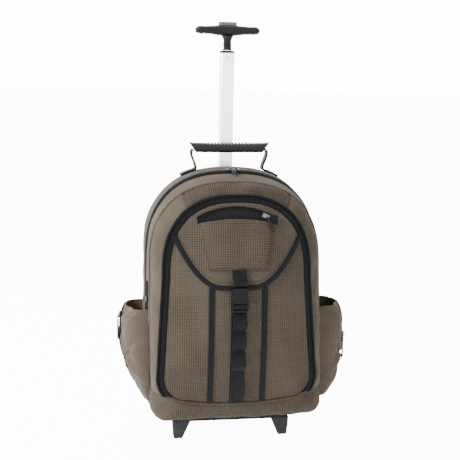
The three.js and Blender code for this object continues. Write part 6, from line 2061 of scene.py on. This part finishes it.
@dataclass
class BackSide:
    """The back: cover over the fixed tube, padded back panel, shoulder straps and their webbing."""

    main: MainBody
    trolley: Trolley
    cover_half: float = 146
    cover_top: float = 498
    cover_bottom: float = 66
    cover_depth: float = 33
    pad_thickness: float = 11
    # along, grow, drop
    cover_table: tuple = ((0.0, 0.0, 0.0), (0.55, -1.0, -3.0), (0.90, -8.0, -12.0), (1.0, -16.0, -20.0))
    # x, behind the cover's back face, z
    strap_route: tuple = (
        (42, 6.4, 475), (42, 6.8, 468), (45, 20, 452), (64, 36, 414), (84, 45, 362), (95, 46, 305),
        (100, 41, 250), (100, 33, 205),
    )
    web_route: tuple = ((103, 20, 150), (107, 7, 124), (108, 1.5, 110), (108, 1.4, 96))

    @property
    def cover_back(self) -> float:
        """Depth of the cover's back face."""
        return self.main.back_y + GAP + self.cover_depth

    def build(self, shop: Workshop) -> None:
        """Makes the cover, the padded panel and both straps."""
        self.build_cover(shop)
        self.build_panel(shop)
        for word, side in SIDES:
            self.build_strap(shop, word, side)

    def build_cover(self, shop: Workshop) -> None:
        """Makes the cover: a shallow tub that rounds over to its back face, cut open for the tube's
        socket."""
        rows = np.array(self.cover_table)
        along = np.array([0, 0.05, 0.15, 0.3, 0.45, 0.6, 0.7, 0.78, 0.85, 0.9, 0.94, 0.97, 0.99, 1.0])
        table = curve_through(rows[:, 0], rows[:, 1:], along)
        shares = np.array([0.96, 0.9, 0.8, 0.68, 0.55, 0.4, 0.25, 0.1, 0.0])

        def grid(inset: float) -> Array:
            made = []
            for share, (grow, drop) in zip(along, table):
                o = Outline(half=self.cover_half + grow, top=self.cover_top + drop,
                            bottom=self.cover_bottom - grow, spring=350, corner=30)
                ring = o.shrunk(inset).around(350, 44, 50)
                y = self.main.back_y + GAP + min(self.cover_depth * share, self.cover_depth - inset)
                made.append(np.c_[ring[:, 0], np.full(len(ring), y), ring[:, 1]])
            middle = np.array([0.0, self.main.back_y + GAP + self.cover_depth - inset, 282.0])
            return np.stack(made + [middle + (made[-1] - middle) * s for s in shares])

        outer, inner = grid(0), grid(CLOTH)
        wave = ripples(outer[..., 0], outer[..., 2], 71, 80) * 1.2 + ripples(outer[..., 0], outer[..., 2],
            72, 33) * 0.4
        wave[:2] = 0
        shift = np.stack([0 * wave, -np.abs(wave), 0 * wave], axis=-1)
        cover = shop.piece("back_cover_cloth",
                           sheet_skin(outer + shift, inner + shift, wrap=True, pole=True), Cloth.POCKET,
                           stands_for=("back_cover",), sharp=60)
        flat_from_front(cover)
        t = self.trolley
        grow = 2 * (t.slack + t.outer_wall) + t.rim + 2 * GAP
        hole = t.bar(t.section(t.width + grow, t.depth + grow, t.corner + 2.5),
                     [(440, 0), (441, 0), (t.mouth + 19, 0), (t.mouth + 20, 0)])
        shop.cut_out(cover, hole)

    def pad_skin(self, inset: float) -> Skin:
        """The back panel as a closed form: an outline in four rings through its thickness."""
        start = self.cover_back + GAP
        o = Outline(half=102 - inset, top=440 - inset, bottom=125 + inset, spring=370, corner=34)
        rings = []
        for grow, share in ((5, 0.06), (1, 0.3), (1, 0.6), (5, 0.85), (16, 0.94)):
            ring = o.shrunk(grow).around(370, 40, 40)
            rings.append(np.c_[ring[:, 0], np.full(len(ring), start + self.pad_thickness * share),
                               ring[:, 1]])
        return bar_skin(np.stack(rings))

    def build_panel(self, shop: Workshop) -> None:
        """Makes the padded back: swelled as cloth under pressure, then quilted with sewn channels."""
        pad = shop.piece("back_panel_pad", self.pad_skin(1.0), Cloth.MESH, stands_for=("back_panel",))
        Stuffing(voxel_mm=4.5, pressure=3.0, cap_mm=4.0).swell(pad)
        count = len(pad.data.vertices)
        flat = np.zeros(count * 3, np.float32)
        pad.data.vertices.foreach_get("co", flat)
        points = flat.reshape(-1, 3).astype(float) * 1000 - shop.shift
        face = self.cover_back + GAP
        x, z = points[:, 0], points[:, 2]
        channel = np.exp(-(((np.abs(x) - 34) / 3.5) ** 2))
        for at in (205.0, 285.0, 365.0):
            channel = np.maximum(channel,
                                 np.exp(-(((z - at + 0.004 * x**2) / 3.5) ** 2)) * smooth_step(np.abs(x), 30,
                                     36))
        depth = np.maximum(points[:, 1] - face, 0.3)
        points[:, 1] = face + np.minimum(depth, 14.0) * (1 - 0.5 * channel * smooth_step(depth, 4, 9))
        pad.data.vertices.foreach_set("co", shop.place(points).astype(np.float32).ravel())
        pad.data.update()
        self.smooth(pad)
        o = Outline(half=101, top=439, bottom=126, spring=370, corner=34)
        ring = o.around(370, 90, 90)
        path = np.c_[ring[:, 0], np.full(len(ring), face + 2.6), ring[:, 1]]
        t = np.linspace(0, 2 * math.pi, 10, endpoint=False)
        out = unit((path - path.mean(0)) * [1, 0, 1])
        rings = path[:, None] + out[:, None] * (np.cos(t) * 2.0)[None, :,
            None] + np.array([0, 1.0, 0]) * (np.sin(t) * 2.3)[None, :, None]
        shop.piece("back_panel_binding", bar_skin(rings, loop=True), Cloth.BINDING)

    def smooth(self, piece: Object) -> None:
        """Adds one subdivision."""
        change = piece.modifiers.new("smooth", "SUBSURF")
        change.levels, change.render_levels = 1, 1

    def strap_path(self, side: int) -> Array:
        """The middle line of a shoulder strap."""
        return smooth_path([[side * x, self.cover_back + back, z] for x, back, z in self.strap_route], 90)

    def build_strap(self, shop: Workshop, word: str, side: int) -> None:
        """Makes one shoulder strap: a padded band with bound edges, its adjuster and the webbing down to the
        base."""
        path = self.strap_path(side)
        width = np.interp(np.linspace(0, 1, 90), [0, 0.1, 0.35, 0.9, 1], [50, 54, 56, 54, 34])
        section = rounded_section(1, 1, 28, 3.2)[None] * np.stack([width, np.full(90, 9.5)], axis=1)[:, None]
        pad = shop.piece(f"shoulder_pad_{word}", bar_skin(carried(path, section)), Cloth.MESH,
                         stands_for=(f"shoulder_strap_{word}",))
        Stuffing(voxel_mm=4.5, pressure=3.0, cap_mm=2.0).swell(pad)
        self.smooth(pad)
        run = unit(np.gradient(path, axis=0))
        edges = []
        for off in (-1, 1):
            line = path[1:-1] + np.array([off, 0, 0]) * (width[1:-1, None] / 2 + 0.6)
            edges.append(bar_skin(carried(line, rounded_section(5.0, 6.4, 14, 2.5))))
        shop.piece(f"shoulder_binding_{word}", joined(edges), Cloth.BINDING)
        web = path[4:70] + np.cross(run[4:70], [side, 0, 0]) * (-side) * 6.6
        shop.piece(f"shoulder_webbing_{word}", bar_skin(carried(web, rounded_section(25.0, WEB, 20, 5))),
                   Cloth.WEBBING)
        shop.keep(f"strap_adjuster_{word}", Cloth.ACETAL)
        ending = path[-1] + run[-1] * 23.5
        low = smooth_path([ending, path[-1] + run[-1] * 31,
                           *[[side * x, self.cover_back + back, z] for x, back, z in self.web_route]], 80)
        shop.piece(f"lower_webbing_strap_{word}", bar_skin(carried(low, rounded_section(25.0, WEB, 20, 5))),
                   Cloth.WEBBING,
                   stands_for=(f"lower_webbing_{word}",))


# Base, feet and wheels


@dataclass
class RunningGear:
    """The base plate, the front feet and the wheels in their housings."""

    x: float = 98
    y: float = 89
    radius: float = 28
    width: float = 20
    tyre: float = 8
    axle: float = 3
    rim_y: float = -59
    rim_z: float = 41.5

    def build(self, shop: Workshop) -> None:
        """Dresses the base, with the stiffening rim along its front, and makes the feet and wheels."""
        shop.bevelled_node("base_plate_moulding", "base_plate", Cloth.BASE, Body.BAG, 1.2)
        x = np.concatenate([[-106, -105], np.linspace(-102, 102, 20), [105, 106]])
        rim = np.stack([x, np.full(len(x), self.rim_y), np.full(len(x), self.rim_z)], axis=1)
        shop.piece("base_front_rim", bar_skin(carried(rim, rounded_section(4.6, 9.0, 20), (0.0, 1.0, 0.0))),
                   Cloth.BASE)
        for word, side in SIDES:
            shop.bevelled_node(f"foot_moulding_{word}", f"foot_{word}", Cloth.FOOT, Body.BAG, 1.6)
            shop.bevelled_node(f"wheel_housing_moulding_{word}", f"wheel_housing_{word}", Cloth.BASE,
                               Body.BAG, 0.8)
            shop.keep(f"axle_{word}", Cloth.STEEL)
            self.build_wheel(shop, word, side)

    def build_wheel(self, shop: Workshop, word: str, side: int) -> None:
        """Makes one wheel: a turned hub with a dished face, and a tyre with a grooved tread."""
        body = Body.WHEEL_LEFT if side < 0 else Body.WHEEL_RIGHT
        half, rim, bore = self.width / 2, self.radius - self.tyre - GAP, self.axle + 0.4
        centre = (side * self.x, self.y, self.radius)
        profile = np.array([
            [-half - 0.6, bore], [-half - 0.6, bore + 3.4], [-half - 0.2, bore + 4],
            [-half + 4.6, bore + 4.6], [-half + 5, bore + 6],
            [-half + 5, rim - 4], [-half + 4.4, rim - 3], [-half + 1.2, rim - 1], [-half + 1, rim],
            [half - 1, rim], [half - 1.2, rim - 1],
            [half - 4.4, rim - 3], [half - 5, rim - 4], [half - 5, bore + 6], [half - 4.6, bore + 4.6],
            [half + 0.2, bore + 4],
            [half + 0.6, bore + 3.4], [half + 0.6, bore],
        ])
        rings = turned_rings(profile, centre, "x", 72)
        shop.piece(f"wheel_hub_moulding_{word}", bar_skin(rings, loop=True), Cloth.FOOT, body,
                   (f"wheel_hub_{word}",), sharp=35)
        inner, outer = self.radius - self.tyre, self.radius
        tread = np.array([
            [-half, inner], [-half, outer - 4.5], [-half + 0.8, outer - 2.2], [-half + 2.6, outer - 0.5],
            [-half + 4, outer],
            [-2.2, outer], [-1.6, outer - 1.2], [1.6, outer - 1.2], [2.2, outer], [half - 4, outer],
            [half - 2.6, outer - 0.5],
            [half - 0.8, outer - 2.2], [half, outer - 4.5], [half, inner],
        ])
        rings = turned_rings(tread, centre, "x", 96)
        shop.piece(f"tyre_tread_{word}", bar_skin(rings, loop=True), Cloth.RUBBER, body, (f"tyre_{word}",),
                   sharp=40)


# Stage


@dataclass
class Studio:
    """The plain pale floor, soft light and the photograph's camera."""

    azimuth: float = -9
    elevation: float = 10
    distance: float = 1900
    focal_pixels: float = 975
    image_pixels: float = 460
    roll: float = 1.05
    target_z: float = 403

    def build(self, shop: Workshop) -> None:
        """Makes the camera, the lights and the floor."""
        self.build_camera(shop)
        self.build_light(shop)
        self.build_floor()

    def build_camera(self, shop: Workshop) -> None:
        """Sets the camera at the photograph's angle, a little rolled."""
        a, e = math.radians(self.azimuth), math.radians(self.elevation)
        back = Vector((math.sin(a) * math.cos(e), -math.cos(a) * math.cos(e), math.sin(e)))
        target = Vector(shop.place(np.array([0.0, 0.0, self.target_z])))
        data = bpy.data.cameras.new("camera")
        data.sensor_width = 36.0
        data.lens = self.focal_pixels / self.image_pixels * data.sensor_width
        data.clip_start, data.clip_end = 0.05, 50
        camera = bpy.data.objects.new("camera", data)
        camera.location = target + back * self.distance / 1000
        camera.rotation_mode = "QUATERNION"
        camera.rotation_quaternion = (-back).to_track_quat("-Z", "Y") @ Quaternion((0, 0, 1),
            math.radians(self.roll))
        bpy.context.scene.collection.objects.link(camera)
        bpy.context.scene.camera = camera

    def glow(self, tree: bpy.types.NodeTree, soft: float, mirrored: float,
             seen: float) -> bpy.types.NodeSocket:
        """Strength of a surround that lamps of its own light: how much it gives by kind of ray.

        Args:
            tree: the node tree.
            soft: for light that matt surfaces gather.
            mirrored: added where something shiny mirrors it.
            seen: added where the camera looks straight at it.

        Returns:
            The socket that carries the strength.
        """
        path = add_node(tree, "ShaderNodeLightPath")
        shiny = add_node(tree, "ShaderNodeMath", {1: mirrored, 2: soft}, {0: path.outputs["Is Glossy Ray"]},
                         operation="MULTIPLY_ADD")
        return add_node(tree, "ShaderNodeMath", {1: seen},
                        {0: path.outputs["Is Camera Ray"], 2: shiny.outputs[0]},
                        operation="MULTIPLY_ADD").outputs[0]

    def build_light(self, shop: Workshop) -> None:
        """Adds a pale surround and three large soft lamps."""
        world = bpy.data.worlds.new("studio")
        world.use_nodes = True
        tree = world.node_tree
        tree.nodes["Background"].inputs[0].default_value = (1, 1, 1, 1)
        tree.links.new(self.glow(tree, 0.27, 4.2, 14.0), tree.nodes["Background"].inputs[1])
        bpy.context.scene.world = world
        centre = Vector(shop.place(np.array([0.0, 0.0, 300.0])))
        for name, place, size, power in (
            ("key", (-2.35, -0.95, 1.6), 0.9, 86), ("fill", (0.6, -2.4, 0.8), 1.6, 5),
            ("top", (-0.3, 0.9, 2.3), 1.5, 34),
            ("rim", (-2.2, 0.6, 0.6), 1.4, 22),
        ):
            lamp = bpy.data.lights.new(name, "AREA")
            lamp.energy, lamp.size = power, size
            light = bpy.data.objects.new(name, lamp)
            light.location = centre + Vector(place)
            light.rotation_mode = "QUATERNION"
            light.rotation_quaternion = (-Vector(place)).to_track_quat("-Z", "Y")
            bpy.context.scene.collection.objects.link(light)

    def build_floor(self) -> None:
        """Lays a wide pale floor."""
        mesh = bpy.data.meshes.new("floor")
        mesh.from_pydata([(-20, -20, 0), (20, -20, 0), (20, 20, 0), (-20, 20, 0)], [], [(0, 1, 2, 3)])
        floor = bpy.data.objects.new("floor", mesh)
        bpy.context.scene.collection.objects.link(floor)
        _, tree, shader = (made := Finish("matt_white_paper", "#f4f4f3", "#ebebea", 0.9)).start()
        place = add_node(tree, "ShaderNodeTexCoord")
        noise = add_node(tree, "ShaderNodeTexNoise", {"Scale": 3.0}, {0: place.outputs["Object"]})
        tree.links.new(made.blend(tree, noise.outputs[0]).outputs[2], shader.inputs["Base Color"])
        tree.links.new(self.glow(tree, 0.0, 3.6, 12.0), shader.inputs["Emission Strength"])
        shader.inputs["Emission Color"].default_value = (1, 1, 1, 1)
        mesh.materials.append(bpy.data.materials["matt_white_paper"])


def main() -> None:
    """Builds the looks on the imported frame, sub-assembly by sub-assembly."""
    logging.basicConfig(level=logging.INFO, format="%(name)s: %(message)s")
    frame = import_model()
    shop = Workshop.on_frame(frame)
    Studio().build(shop)
    body, trolley = MainBody(), Trolley()
    face = FrontFace(body)
    flap = FlapAndPocket(face)
    parts = [
        body, face, flap, FrontWebbing(flap), SidePockets(body), CarryHandle(body), trolley,
        BackSide(body, trolley), RunningGear(),
    ]
    for part in parts:
        log.info("building %s", type(part).__name__)
        part.build(shop)
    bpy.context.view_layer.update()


if __name__ == "__main__":
    main()
